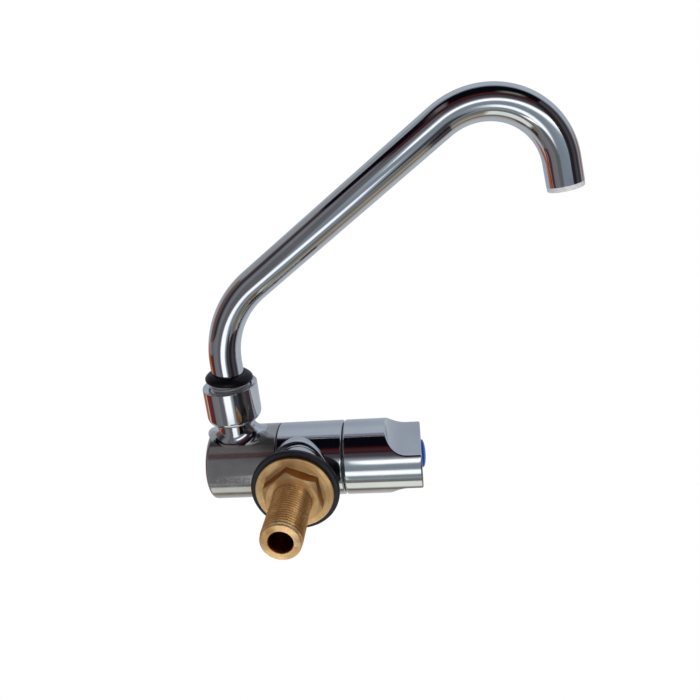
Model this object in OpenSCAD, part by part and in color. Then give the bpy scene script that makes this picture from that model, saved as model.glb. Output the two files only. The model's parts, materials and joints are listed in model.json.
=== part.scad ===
// Folding caravan tap: a three-section chrome barrel on a threaded brass tail.
// The left section folds about the barrel's axis and carries a swivelling bent spout.
// The right section is a quarter-turn knob over a ceramic disc cartridge.
// Frame: millimetres, +Z up, origin on the tail's axis at the worktop face under the gasket.
// +X runs along the barrel to the knob, and the folded spout lies towards -Y.

/* [Barrel] */
// Diameter of all three barrel sections
barrel_d = 33; // [31:0.5:38]
// Height of the barrel's axis above the worktop face
axis_h = 24.9; // [23:0.1:30]
// Length of the folding head
head_len = 31.5; // [31:0.1:40]
// Length of the valve body
body_len = 28.9; // [28:0.1:34]
// Distance from the tail's axis to the valve body's left face
body_left = 9.7; // [9.4:0.1:11]
// Gap between the folding head and the valve body
seam_gap = 0.5; // [0.4:0.05:0.8]
// Gap between the valve body and the knob
knob_gap = 1.0; // [0.8:0.1:1.5]
// Edge round at the closed end of the head
end_round = 2.0; // [0.5:0.1:3]
// Chamfer on the edges at the fold seam
seam_chamfer = 0.3; // [0.1:0.05:0.6]
// Chamfer on the edges at the knob groove
groove_chamfer = 0.6; // [0.2:0.1:1]

/* [Pedestal and gasket] */
// Diameter of the pedestal under the valve body
boss_d = 28.5; // [26:0.5:30]
// Diameter of the base gasket
gasket_d = 38; // [34:0.5:44]
// Thickness of the base gasket
gasket_t = 2.2; // [1.5:0.1:3]
// Edge round of the base gasket
gasket_round = 0.7; // [0.2:0.1:0.7]

/* [Tail and nut] */
// Major diameter of the tail's thread, G3/8
stem_d = 16.662; // [16:0.001:17]
// Bore of the tail
stem_bore = 9.6; // [8:0.1:10.5]
// Length of the tail below the worktop face
stem_drop = 30.9; // [28:0.1:45]
// Length of the tail screwed into the pedestal
stem_in = 7.8; // [5:0.1:8.5]
// Chamfer at the tail's tip
tip_chamfer = 0.8; // [0.3:0.1:1.2]
// Radial relief of the tail under the nut, gasket and pedestal
stem_relief = 0.3; // [0.2:0.05:0.5]
// Diameter of the nut's flange
nut_flange_d = 33.4; // [30:0.1:37]
// Thickness of the nut's flange
nut_flange_t = 1.6; // [1.2:0.1:2.5]
// Width of the nut across its flats
nut_af = 23; // [22:0.5:26]
// Height of the nut's hexagon
nut_hex_h = 5.3; // [4:0.1:8]

/* [Fold joint] */
// Diameter of the hollow journal that the head turns on
journal_d = 16; // [15:0.1:17]
// Length of the journal beyond the valve body's left face
journal_len = 14.8; // [14.5:0.1:16]
// Bore of the journal
journal_bore = 7; // [5:0.1:8]
// Diameter of the journal's threaded end
journal_thread_d = 20; // [19:0.1:21]
// Depth of the journal's socket in the valve body
journal_socket = 4.5; // [4:0.1:4.8]
// Section of the journal's sealing rings
journal_ring = 1.8; // [1.5:0.1:2]
// Distance of the first sealing ring from the valve body's face
journal_ring_at = 3.3; // [3:0.1:3.6]
// Distance from one sealing ring to the other
journal_ring_spacing = 9; // [8.6:0.1:9.4]
// Diameter of the stop screw
stop_d = 5; // [4.5:0.1:5]
// Diameter of the stop screw's tip
stop_tip_d = 4; // [3:0.1:4.2]
// Fold angle that the stop slot allows
fold_range = 90; // [80:1:100]

/* [Spout socket] */
// Distance from the tail's axis to the spout's swivel axis
collar_off = 29; // [28.5:0.1:29.8]
// Diameter of the socket's cup
cup_d = 24.2; // [23.5:0.1:25]
// Distance of the cup's rim from the barrel's axis
cup_top = 39.5; // [39:0.1:44]
// Distance of the cup's shoulder from the barrel's axis
cup_shoulder = 25.6; // [24:0.1:26]
// Round under the cup
cup_round = 3; // [2:0.1:3.5]
// Bore of the cup
cup_bore = 19; // [18.4:0.1:19.4]
// Distance of the cup's floor from the barrel's axis
cup_floor = 27.6; // [27:0.1:28]
// Depth of the countersink at the rim
cup_sink = 1.1; // [0.6:0.1:1.4]
// Flat land left at the rim
cup_land = 0.4; // [0.2:0.1:0.8]
// Diameter of the neck under the cup
neck_d = 18; // [15:0.1:19]
// Cove where the neck meets the barrel
neck_cove = 1.6; // [0.8:0.1:2]
// Bore of the water way through the neck
neck_bore = 9; // [7:0.1:10]

/* [Spout tube] */
// Outside diameter of the tube
tube_d = 14; // [13:0.1:14.4]
// Wall of the tube
tube_wall = 1; // [0.8:0.1:1.5]
// Radial loss of the tube in its bends
bend_loss = 0.05; // [0.04:0.01:0.1]
// Distance from the barrel's axis to the first bend
rise = 50; // [47:0.5:66]
// Radius of the first bend, at the tube's centre
bend_r = 42.5; // [34:0.5:52]
// Angle of the first bend
bend_angle = 54.4; // [40:0.1:65]
// Length of the straight between the bends
reach = 99.8; // [80:0.1:140]
// Radius of the crook, at the tube's centre
crook_r = 28.3; // [24:0.1:34]
// Angle of the crook
crook_angle = 116; // [100:0.1:125]
// Length of the tube after the crook
drop = 9.1; // [6:0.1:20]
// Length of the outlet insert's rim outside the tube
outlet_rim = 2; // [1:0.1:3]
// Length of the outlet insert inside the tube
outlet_in = 7; // [4:0.1:8]
// Bore of the outlet insert
outlet_bore = 10; // [8:0.1:10.6]
// Section of the rubber ring round the tube
top_ring_t = 3.9; // [3:0.1:4.2]

/* [Spout ferrule] */
// Length of the ferrule's flange in the cup
ferrule_flange = 5.7; // [5:0.1:5.8]
// Wall of the ferrule's sleeve
ferrule_wall = 1; // [0.8:0.1:1.1]
// Height of the ferrule's two ridges
ridge_h = 0.6; // [0.3:0.1:0.7]
// Width of each ridge
ridge_w = 1; // [0.6:0.1:1.2]
// Section of the ferrule's sealing ring
spigot_ring = 2; // [1.6:0.1:2]
// Width of the retaining ring in the cup
clip_t = 0.9; // [0.7:0.1:1]
// Depth of the retaining ring's groove in the cup's wall
clip_groove = 0.7; // [0.5:0.1:0.8]

/* [Cartridge] */
// Depth of the cartridge's cavity in the valve body
cavity_depth = 13.7; // [13.5:0.1:14]
// Diameter of the cartridge's cavity
cavity_d = 23; // [22.5:0.1:24]
// Diameter of the ceramic discs
disc_d = 14; // [13:0.1:14.4]
// Thickness of each ceramic disc
disc_t = 2.4; // [2:0.1:2.4]
// Radius of the ports in the discs
port_r = 2; // [1.5:0.1:2.2]
// Thickness of the seat seal
seal_t = 2; // [1.8:0.1:2]
// Width of the cartridge's hexagon across its flats
cartridge_af = 22; // [20:0.5:22]
// Height of the cartridge's hexagon
cartridge_hex_h = 3.5; // [3:0.1:4]
// Length of the cartridge's gland past its hexagon
gland_len = 4.8; // [4.4:0.1:5]
// Diameter of the spindle
spindle_d = 8; // [7.6:0.1:8.4]
// Number of splines on the spindle
spline_n = 20; // [16:2:24]
// Length of the splined end
spline_len = 9; // [7:0.1:10]

/* [Knob] */
// Length of the knob
knob_len = 33.9; // [33:0.1:40]
// Depth of the hollow behind the knob
knob_hollow = 8.8; // [8.8:0.1:9.6]
// Wall of the knob around its hollow
knob_wall = 3.3; // [2.5:0.1:3.4]
// Edge round at the knob's end
knob_round = 0.9; // [0.4:0.1:1.5]
// Distance of the finger flats from the axis
flat_off = 8.3; // [7.9:0.1:11]
// Length of the level part of the finger flats
flat_len = 6.2; // [4:0.1:9]
// Radius of the run-out behind the finger flats
scoop_r = 9.3; // [6:0.1:11]
// Diameter of the knob's screw
knob_screw_d = 4; // [3:0.1:4]
// Diameter of the blue cap
cap_d = 12.4; // [11:0.1:13]
// Height of the blue cap's dome
cap_dome = 1.4; // [0.8:0.1:2]
// Depth of the blue cap's recess
cap_recess = 5; // [4:0.1:5.5]

/* [Clearances] */
// Radial clearance of a turning or sliding fit
run_gap = 0.05; // [0.02:0.01:0.1]
// Radial clearance of pieces fixed together
fix_gap = 0.02; // [0.01:0.01:0.03]
// End clearance between faces that turn on each other
face_gap = 0.1; // [0.05:0.01:0.15]

/* [Hidden] */
$fn = 96;
// Overrun of a cut past the face that it opens
cut = 1;
barrel_r = barrel_d / 2;
body_l = -body_left;
body_r = body_l + body_len;
head_r = body_l - seam_gap;
head_l = head_r - head_len;
knob_l = body_r + knob_gap;
knob_r = knob_l + knob_len;
collar_x = -collar_off;
tube_r = tube_d / 2;
// Fold joint, as distances to the left of the valve body's left face
journal_r = journal_d / 2;
groove_w = journal_ring + 0.4;
stop_at = journal_ring_at + journal_ring_spacing / 2;
stop_depth = 1.6;
stop_end_gap = 0.2;
stop_margin = asin((stop_tip_d / 2 + 2 * run_gap) / (journal_r - stop_depth)) + 1;
stop_recess = 1;
chamber_r = 6;
chamber_len = collar_off - body_left - journal_len + chamber_r;
socket_x = body_l + journal_socket;
washer_t = seam_gap - face_gap;
// Water ways in the valve body
inlet_r = 4;
inlet_over = 2;
seat_x = body_r - cavity_depth;
seat_bore_r = 3.5;
bypass_r = 1.9;
bypass_off = 7.6;
bypass_angles = [-45, 0, 45];
// Cartridge stack from the seat outwards
fixed_x = seat_x + seal_t;
moving_x = fixed_x + disc_t + run_gap;
foot_x = moving_x + disc_t;
foot_t = 2.2;
nose_x = seat_x + 0.7;
nose_wall = 2.6;
nose_r = disc_d / 2 + nose_wall;
bore_end_x = foot_x + foot_t + face_gap;
window_w = 6;
hex_end_x = body_r + cartridge_hex_h;
gland_x = hex_end_x + gland_len;
gland_r = 7;
spindle_r = spindle_d / 2;
spindle_ring = 1.5;
spindle_ring_x = hex_end_x + gland_len / 2;
spindle_clip_t = 0.8;
spindle_clip_r = 6;
spindle_clip_groove = 0.8;
clip_x = gland_x + face_gap;
spline_x = clip_x + spindle_clip_t + 0.5;
spline_end_x = spline_x + spline_len;
spline_h = 0.4;
spline_r = spindle_r - 0.2;
hollow_x = knob_l + knob_hollow;
hollow_r = barrel_r - knob_wall;
screw_r = knob_screw_d / 2;
screw_floor = 4.2;
screw_seat_x = spline_end_x + screw_floor;
screw_head_r = knob_screw_d * 0.95;
screw_head_h = knob_screw_d * 0.65;
screw_in = 7;
cap_x = knob_r - cap_recess;
cap_r = cap_d / 2;
dust_in = cartridge_af / sqrt(3) + 0.2;
dust_out = barrel_r - groove_chamfer - 0.7;
// Spout socket, as distances from the barrel's axis
cup_r = cup_d / 2;
bore_r = cup_bore / 2;
neck_r = neck_d / 2;
ferrule_base = cup_floor + 0.3;
ferrule_top = cup_top + 2.1;
flange_top = ferrule_base + ferrule_flange;
sleeve_r = tube_r + fix_gap + ferrule_wall;
flange_r = bore_r - run_gap;
clip_at = flange_top + 0.5;
clip_in = sleeve_r + ridge_h / 2;
tube_start = ferrule_base + 1.8;
// Length by which a straight laps into a bend
lap = 0.3;
ridge_at = [cup_top - cup_sink - 0.9, cup_top + 0.6];
top_ring_at = ferrule_top + top_ring_t / 2 + fix_gap;
// Tail and nut
stem_r = stem_d / 2;
stem_top = gasket_t + stem_in;
nut_face = -face_gap / 2;
nut_low = nut_face - nut_flange_t - nut_hex_h;
stem_free = nut_low - 0.3;
hex_corner = 2 / sqrt(3);
nut_turn = 24;

// Turns a shape's Z axis to the barrel's axis, with Z measured as the row's X
module on_barrel() {
    translate([0, 0, axis_h]) rotate([0, 90, 0]) children();
}

// Turns a shape's Z axis to the spout's swivel axis, with Z measured from the barrel's axis
module on_collar() {
    translate([collar_x, 0, axis_h]) rotate([90, 0, 0]) children();
}

// A straight rod from one height to another
module rod(r, from, to) {
    translate([0, 0, from]) cylinder(r = r, h = to - from);
}

// A tube from one height to another
module ring(r_in, r_out, from, to) {
    difference() {
        rod(r_out, from, to);
        rod(r_in, from - cut, to + cut);
    }
}

// Radius of the floor of a ring's groove in a rod, which leaves the ring its clearance
function groove_floor(r, section) = r + run_gap / 2 - section - fix_gap;

// A sealing ring of round section about the Z axis, which touches the given outer radius
module seal_ring(r_out, section, at) {
    translate([0, 0, at]) rotate_extrude() translate([r_out - section / 2, 0]) circle(d = section);
}

// A rod with chamfers at its lower and upper ends
module chamfered_rod(r, from, to, low, high) {
    rotate_extrude() polygon([[0, from], [r - low, from], [r, from + low],
                              [r, to - high], [r - high, to], [0, to]]);
}

// The valve body: a barrel section with its pedestal and water ways
module valve_body() {
    color("gainsboro") difference() {
        union() {
            on_barrel() chamfered_rod(barrel_r, body_l, body_r, seam_chamfer, groove_chamfer);
            intersection() {
                rod(boss_d / 2, gasket_t, axis_h);
                translate([body_l, -boss_d, 0]) cube([boss_d + body_left, 2 * boss_d, 2 * axis_h]);
            }
        }
        rod(stem_r - stem_relief + fix_gap, gasket_t - cut, stem_top + fix_gap);
        rod(inlet_r, gasket_t, axis_h + inlet_over);
        on_barrel() {
            rod(journal_thread_d / 2 + fix_gap, body_l - cut, socket_x);
            rod(cavity_d / 2, seat_x, body_r + cut);
            rod(seat_bore_r, 0, seat_x + cut);
            for (a = bypass_angles)
                rotate([0, 0, 180 + a]) translate([bypass_off, 0, 0]) rod(bypass_r, socket_x - cut, seat_x + cut);
        }
    }
}

// The brass tail, with its thread as a plain cylinder
module inlet_stem() {
    color("darkgoldenrod") difference() {
        union() {
            chamfered_rod(stem_r, -stem_drop, stem_free, tip_chamfer, 0);
            chamfered_rod(stem_r - stem_relief, stem_free - 1, stem_top, 0, tip_chamfer);
        }
        rod(stem_bore / 2, -stem_drop - cut, stem_top + cut);
    }
}

// The rubber gasket between the pedestal and the worktop
module base_gasket() {
    gasket_r = gasket_d / 2;
    color("black") difference() {
        rotate_extrude() union() {
            square([gasket_r - gasket_round, gasket_t]);
            translate([0, gasket_round]) square([gasket_r, gasket_t - 2 * gasket_round]);
            for (z = [gasket_round, gasket_t - gasket_round])
                translate([gasket_r - gasket_round, z]) circle(r = gasket_round);
        }
        rod(stem_r + run_gap, -cut, gasket_t + cut);
    }
}

// The flanged brass nut that clamps the tap to its worktop
module backnut() {
    low = nut_low;
    corner_r = nut_af / 2 * hex_corner;
    crown_r = nut_af / 2 * 0.96;
    crown_h = (corner_r - crown_r) * tan(30);
    color("goldenrod") difference() {
        union() {
            chamfered_rod(nut_flange_d / 2, nut_face - nut_flange_t, nut_face, 0.4, 0.2);
            intersection() {
                translate([0, 0, low]) rotate([0, 0, nut_turn])
                    cylinder(r = corner_r, h = nut_hex_h + nut_flange_t / 2, $fn = 6);
                rotate_extrude() polygon([[0, low], [crown_r, low], [corner_r + 0.1, low + crown_h],
                                          [corner_r + 0.1, nut_face], [0, nut_face]]);
            }
        }
        rod(stem_r + run_gap, low - cut, nut_face + cut);
        translate([0, 0, low - fix_gap]) cylinder(r1 = stem_r + 1, r2 = stem_r, h = 1);
    }
}

// The hollow journal that is screwed into the valve body and carries the head
module fold_journal() {
    tip_x = body_l - journal_len;
    color("peru") on_barrel() difference() {
        union() {
            chamfered_rod(journal_r, tip_x, body_l + fix_gap, 0.5, 0);
            chamfered_rod(journal_thread_d / 2, body_l, socket_x - 1.2, 0.2, 0.5);
        }
        rod(journal_bore / 2, tip_x - cut, socket_x + cut);
        for (i = [0, 1]) {
            at = body_l - journal_ring_at - i * journal_ring_spacing;
            ring(groove_floor(journal_r, journal_ring), journal_r + cut, at - groove_w / 2, at + groove_w / 2);
        }
        stop_slot();
    }
}

// The slot in the journal that the stop screw's tip runs in, from +Y round to -Z
module stop_slot() {
    width = stop_tip_d + 4 * run_gap;
    rotate([0, 0, -stop_margin]) translate([0, 0, body_l - stop_at])
        rotate_extrude(angle = fold_range + 2 * stop_margin)
        translate([journal_r - stop_depth, -width / 2]) square([stop_depth + cut, width]);
}

// The two sealing rings on the journal
module journal_seals() {
    color("dimgray") on_barrel() for (i = [0, 1])
        seal_ring(journal_r + run_gap / 2, journal_ring, body_l - journal_ring_at - i * journal_ring_spacing);
}

// The slippery washer in the fold seam
module fold_washer() {
    color("black") on_barrel()
        ring(journal_thread_d / 2 + 0.6, barrel_r - seam_chamfer, body_l - washer_t, body_l);
}

// The folding head: barrel section, neck and spout cup
module fold_head() {
    color("silver") difference() {
        union() {
            on_barrel() rotate_extrude() union() {
                translate([0, head_l]) square([barrel_r - end_round, head_len]);
                translate([0, head_l + end_round]) square([barrel_r, head_len - end_round - seam_chamfer]);
                translate([barrel_r - end_round, head_l + end_round]) circle(r = end_round);
                polygon([[0, head_r - seam_chamfer], [barrel_r, head_r - seam_chamfer],
                         [barrel_r - seam_chamfer, head_r], [0, head_r]]);
            }
            on_collar() neck_and_cup();
        }
        on_barrel() {
            rod(journal_r + run_gap, body_l - journal_len - face_gap, head_r + cut);
            rod(chamber_r, body_l - journal_len - chamber_len, head_r);
        }
        on_collar() cup_hollow();
        translate([body_l - stop_at, 0, axis_h]) rotate([-90, 0, 0]) rod(stop_d / 2 + fix_gap, 0, barrel_r + cut);
    }
}

// The neck with its cove on the barrel, and the cup with its rounded shoulder
module neck_and_cup() {
    cove_r = neck_r + neck_cove;
    shoulder = cup_shoulder - cup_round;
    rotate_extrude() union() {
        square([neck_r, cup_floor]);
        difference() {
            square([cove_r, barrel_r + neck_cove]);
            translate([cove_r, barrel_r + neck_cove]) circle(r = neck_cove);
        }
        translate([0, shoulder]) square([cup_r - cup_round, cup_top - shoulder]);
        translate([0, cup_shoulder]) square([cup_r, cup_top - cup_shoulder]);
        translate([cup_r - cup_round, cup_shoulder]) circle(r = cup_round);
    }
}

// The water way, bore, retaining groove and countersink of the cup
module cup_hollow() {
    rod(neck_bore / 2, 0, cup_floor + cut);
    rod(bore_r, cup_floor, cup_top + cut);
    rod(bore_r + clip_groove, clip_at - run_gap, clip_at + clip_t + run_gap);
    rotate_extrude() polygon([[0, cup_top - cup_sink], [bore_r, cup_top - cup_sink],
                              [cup_r - cup_land, cup_top], [cup_r - cup_land, cup_top + cut],
                              [0, cup_top + cut]]);
}

// The grub screw whose tip runs in the journal's slot and sets the fold's limits
module stop_screw() {
    socket_af = stop_d / 2;
    tip = journal_r - stop_depth + stop_end_gap;
    color("gray") translate([body_l - stop_at, 0, axis_h]) rotate([-90, 0, 0]) difference() {
        union() {
            rod(stop_tip_d / 2, tip, journal_r + 1);
            rod(stop_d / 2, journal_r + 1, barrel_r - stop_recess);
        }
        translate([0, 0, barrel_r - stop_recess - socket_af])
            cylinder(r = socket_af / 2 * hex_corner, h = socket_af + cut, $fn = 6);
    }
}

// The split retaining ring that holds the spout in the cup
module spout_clip() {
    split = 5;
    color("lightsteelblue") on_collar() difference() {
        ring(clip_in, bore_r + clip_groove - fix_gap, clip_at, clip_at + clip_t);
        translate([0, -split / 2, clip_at - cut]) cube([cup_d, split, clip_t + 2 * cut]);
    }
}

// One bend of round section that starts along Z at the origin and turns towards X
module bend(r, radius, angle) {
    translate([radius, 0, 0]) mirror([1, 0, 0]) rotate([90, 0, 0])
        rotate_extrude(angle = angle) translate([radius, 0]) circle(r = r);
}

// Moves a shape from the start of a bend to its end
module past_bend(radius, angle) {
    translate([radius * (1 - cos(angle)), 0, radius * sin(angle)]) rotate([0, angle, 0]) children();
}

// Moves a shape to the tube's outlet end, with Z along the flow
module at_outlet() {
    translate([0, 0, rise]) past_bend(bend_r, bend_angle)
        translate([0, 0, reach]) past_bend(crook_r, crook_angle)
        translate([0, 0, drop]) children();
}

// A round rod along the tube's centre line, with its ends overrun
module spout_path(r, over) {
    rod(r, tube_start - over, rise + lap);
    translate([0, 0, rise]) {
        bend(r - bend_loss, bend_r, bend_angle);
        past_bend(bend_r, bend_angle) {
            rod(r, -lap, reach + lap);
            translate([0, 0, reach]) {
                bend(r - bend_loss, crook_r, crook_angle);
                past_bend(crook_r, crook_angle) rod(r, -lap, drop + over);
            }
        }
    }
}

// The bent chrome tube
module spout_tube() {
    color("whitesmoke") on_collar() difference() {
        spout_path(tube_r, 0);
        spout_path(tube_r - tube_wall, cut);
    }
}

// The ridged brass ferrule on the tube's lower end
module spout_ferrule() {
    ring_at = ferrule_base + ferrule_flange / 2;
    floor_r = tube_r - tube_wall;
    color("lightgray") on_collar() difference() {
        union() {
            chamfered_rod(flange_r, ferrule_base, flange_top, 0.4, 0.3);
            chamfered_rod(sleeve_r, ferrule_base, ferrule_top, 0, 0.3);
            for (at = ridge_at)
                chamfered_rod(sleeve_r + ridge_h, at - ridge_w / 2, at + ridge_w / 2, 0.25, 0.25);
        }
        rod(floor_r, ferrule_base - cut, ferrule_top + cut);
        rod(tube_r + fix_gap, tube_start - fix_gap, ferrule_top + cut);
        ring(groove_floor(flange_r, spigot_ring), flange_r + cut,
             ring_at - spigot_ring / 2 - 0.2, ring_at + spigot_ring / 2 + 0.2);
    }
}

// The sealing ring on the ferrule
module spigot_seal() {
    color("dimgray") on_collar()
        seal_ring(flange_r + run_gap / 2, spigot_ring, ferrule_base + ferrule_flange / 2);
}

// The thick black rubber ring round the tube above the cup
module top_ring() {
    color("black") on_collar() seal_ring(tube_r + fix_gap + top_ring_t, top_ring_t, top_ring_at);
}

// The clear plastic insert in the tube's outlet
module outlet_insert() {
    color("azure") on_collar() at_outlet() difference() {
        union() {
            rod(tube_r - tube_wall - fix_gap, -outlet_in, fix_gap);
            chamfered_rod(tube_r - 0.1, fix_gap, outlet_rim, 0, 0.4);
        }
        rod(outlet_bore / 2, -outlet_in - cut, outlet_rim + cut);
    }
}

// The brass housing of the quarter-turn cartridge
module cartridge_body() {
    color("goldenrod") on_barrel() difference() {
        union() {
            rod(nose_r, nose_x, body_r);
            chamfered_rod(cavity_d / 2 - fix_gap, bore_end_x - 2, body_r, 0.5, 0);
            translate([0, 0, body_r])
                cylinder(r = cartridge_af / 2 * hex_corner, h = cartridge_hex_h, $fn = 6);
            chamfered_rod(gland_r, hex_end_x - fix_gap, gland_x, 0, 0.4);
        }
        rod(disc_d / 2 + run_gap, nose_x - cut, bore_end_x);
        rod(spindle_r + run_gap, nose_x, gland_x + cut);
        translate([-nose_r - cut, -window_w / 2, moving_x])
            cube([2 * (nose_r + cut), window_w, disc_t]);
    }
}

// The rubber seal between the partition and the fixed disc
module seat_seal() {
    color("black") on_barrel() ring(seat_bore_r, bypass_off - bypass_r, seat_x, fixed_x);
}

// A ceramic disc with two round ports
module disc(r, from) {
    difference() {
        rod(r, from, from + disc_t);
        for (a = [0, 180]) rotate([0, 0, a]) translate([disc_d / 4, 0, 0]) rod(port_r, from - cut, from + disc_t + cut);
    }
}

// The ceramic disc that stays still
module fixed_disc() {
    color("ivory") on_barrel() disc(disc_d / 2, fixed_x);
}

// The ceramic disc that the spindle turns, shut a quarter turn from the ports below it
module moving_disc() {
    color("white") on_barrel() rotate([0, 0, 90]) disc(disc_d / 2 - run_gap, moving_x);
}

// The black ring at the bottom of the groove beside the knob
module dust_ring() {
    color("black") on_barrel() ring(dust_in, dust_out, body_r, knob_l - face_gap);
}

// The outline of the splined end of the spindle
module spline_outline(r) {
    polygon([for (i = [0 : 2 * spline_n - 1])
        let (a = i * 180 / spline_n, q = i % 2 == 0 ? r : r - spline_h) [q * cos(a), q * sin(a)]]);
}

// The brass spindle with its drive foot, seal groove and splined end
module spindle() {
    ring_w = spindle_ring + 0.3;
    color("darkgoldenrod") on_barrel() difference() {
        union() {
            rod(disc_d / 2 - run_gap, foot_x, foot_x + foot_t);
            rod(spindle_r, foot_x, spline_x);
            translate([0, 0, spline_x]) linear_extrude(spline_len) spline_outline(spline_r);
        }
        ring(groove_floor(spindle_r, spindle_ring), spindle_r + cut,
             spindle_ring_x - ring_w / 2, spindle_ring_x + ring_w / 2);
        ring(spindle_r - spindle_clip_groove, spindle_r + cut,
             clip_x - run_gap, clip_x + spindle_clip_t + run_gap);
        rod(screw_r + fix_gap, spline_end_x - screw_in - 1, spline_end_x + cut);
    }
}

// The sealing ring on the spindle
module spindle_seal() {
    color("dimgray") on_barrel() seal_ring(spindle_r + run_gap / 2, spindle_ring, spindle_ring_x);
}

// The split clip that keeps the spindle in its gland
module spindle_clip() {
    split = 5;
    color("lightsteelblue") on_barrel() difference() {
        ring(spindle_r - spindle_clip_groove + fix_gap, spindle_clip_r, clip_x, clip_x + spindle_clip_t);
        translate([0, -split / 2, clip_x - cut]) cube([2 * spindle_clip_r, split, spindle_clip_t + 2 * cut]);
    }
}

// The knob, with two opposite finger flats that run out in a scoop
module knob() {
    color("silver") difference() {
        on_barrel() rotate_extrude() union() {
            polygon([[0, knob_l], [barrel_r - groove_chamfer, knob_l], [barrel_r, knob_l + groove_chamfer],
                     [barrel_r, knob_r - knob_round], [0, knob_r - knob_round]]);
            translate([0, knob_r - 2 * knob_round]) square([barrel_r - knob_round, 2 * knob_round]);
            translate([barrel_r - knob_round, knob_r - knob_round]) circle(r = knob_round);
        }
        for (side = [0, 1]) translate([0, 0, axis_h]) mirror([0, side, 0]) finger_scoop();
        on_barrel() {
            rod(hollow_r, knob_l - cut, hollow_x);
            translate([0, 0, hollow_x - cut]) linear_extrude(spline_end_x + 0.2 - hollow_x + cut)
                spline_outline(spline_r + fix_gap);
            rod(screw_r + 2 * run_gap, hollow_x, screw_seat_x + cut);
            rod(screw_head_r + 2 * run_gap, screw_seat_x, knob_r);
            rod(cap_r + fix_gap, cap_x, knob_r + cut);
        }
    }
}

// The space that one finger flat and its run-out take from the knob
module finger_scoop() {
    run_x = knob_r - flat_len;
    translate([0, 0, -barrel_d]) linear_extrude(2 * barrel_d) union() {
        translate([run_x, flat_off]) square([flat_len + cut, barrel_r]);
        translate([run_x, flat_off + scoop_r]) circle(r = scoop_r);
    }
}

// The pan-head screw that holds the knob on its spindle
module knob_screw() {
    slot_w = knob_screw_d / 5;
    slot_d = screw_head_h / 2;
    head_end = screw_seat_x + screw_head_h;
    color("gray") on_barrel() difference() {
        union() {
            rod(screw_r, spline_end_x - screw_in, screw_seat_x + fix_gap);
            chamfered_rod(screw_head_r, screw_seat_x + fix_gap, head_end, 0, 0.5);
        }
        for (a = [0, 90]) rotate([0, 0, a]) translate([-screw_r, -slot_w / 2, head_end - slot_d])
            cube([2 * screw_r, slot_w, slot_d + cut]);
    }
}

// The blue domed cap in the knob's end
module index_cap() {
    dome_r = (cap_r * cap_r + cap_dome * cap_dome) / (2 * cap_dome);
    color("mediumblue") on_barrel() union() {
        rod(cap_r, cap_x + 0.3, knob_r);
        rotate_extrude() intersection() {
            translate([0, knob_r + cap_dome - dome_r]) circle(r = dome_r);
            translate([0, knob_r - 0.5]) square([cap_r, cap_dome + 1]);
        }
    }
}

valve_body();
inlet_stem();
base_gasket();
backnut();
fold_journal();
journal_seals();
fold_washer();
fold_head();
stop_screw();
spout_clip();
spout_tube();
spout_ferrule();
spigot_seal();
top_ring();
outlet_insert();
cartridge_body();
seat_seal();
fixed_disc();
dust_ring();
moving_disc();
spindle();
spindle_seal();
spindle_clip();
knob();
knob_screw();
index_cap();
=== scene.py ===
# %% [markdown]
# # A folding caravan tap
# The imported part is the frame: it gives every piece its place and its joints. This script dresses it.
# Chrome shows each facet of a coarse mesh, so the pieces that shine are turned again as smooth meshes.
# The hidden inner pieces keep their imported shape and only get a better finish.

import json
import math

import bmesh
import bpy
from mathutils import Matrix, Vector

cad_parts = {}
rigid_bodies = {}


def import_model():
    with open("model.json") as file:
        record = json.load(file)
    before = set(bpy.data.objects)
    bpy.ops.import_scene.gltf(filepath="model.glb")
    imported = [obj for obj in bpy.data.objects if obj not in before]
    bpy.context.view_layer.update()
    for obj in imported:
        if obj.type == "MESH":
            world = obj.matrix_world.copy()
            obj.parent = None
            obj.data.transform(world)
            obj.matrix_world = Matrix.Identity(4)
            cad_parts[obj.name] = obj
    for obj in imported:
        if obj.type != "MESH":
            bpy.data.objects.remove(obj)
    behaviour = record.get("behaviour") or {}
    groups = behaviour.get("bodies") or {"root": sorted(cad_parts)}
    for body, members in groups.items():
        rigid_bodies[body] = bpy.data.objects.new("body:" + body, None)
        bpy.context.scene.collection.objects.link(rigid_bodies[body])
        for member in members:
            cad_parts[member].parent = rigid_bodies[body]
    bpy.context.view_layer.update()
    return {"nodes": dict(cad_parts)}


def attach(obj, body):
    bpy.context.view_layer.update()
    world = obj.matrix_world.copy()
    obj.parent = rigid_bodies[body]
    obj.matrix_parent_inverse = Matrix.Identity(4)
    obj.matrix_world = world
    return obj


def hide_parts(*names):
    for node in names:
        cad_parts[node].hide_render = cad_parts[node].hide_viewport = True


for leftover in list(bpy.data.objects):
    bpy.data.objects.remove(leftover)
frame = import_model()

# %% [markdown]
# ## Sizes
# The sizes repeat the part's own values in millimetres. A piece is shaped in millimetres and scaled to
# metres when it is done, which keeps the numbers easy to read on a drawing.

# %% Sizes in millimetres
MM = 0.001
AXIS_H = 24.9
BARREL_R = 16.5
HEAD_L, HEAD_R = -41.7, -10.2
BODY_L, BODY_R = -9.7, 19.55
KNOB_L, KNOB_R = 19.95, 54.1
COLLAR_X = -29.0
GASKET_T = 2.2
TUBE_R = 7.0
TIP = -30.9
FULL_TURN = 2 * math.pi
print("barrel from", HEAD_L, "to", KNOB_R, "mm, tail down to", TIP, "mm")

# %% [markdown]
# ## Places
# Each turned piece is drawn with its axis along Z. Three matrices then lay that axis along the barrel,
# along the spout's swivel axis, or straight down from the barrel.

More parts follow.
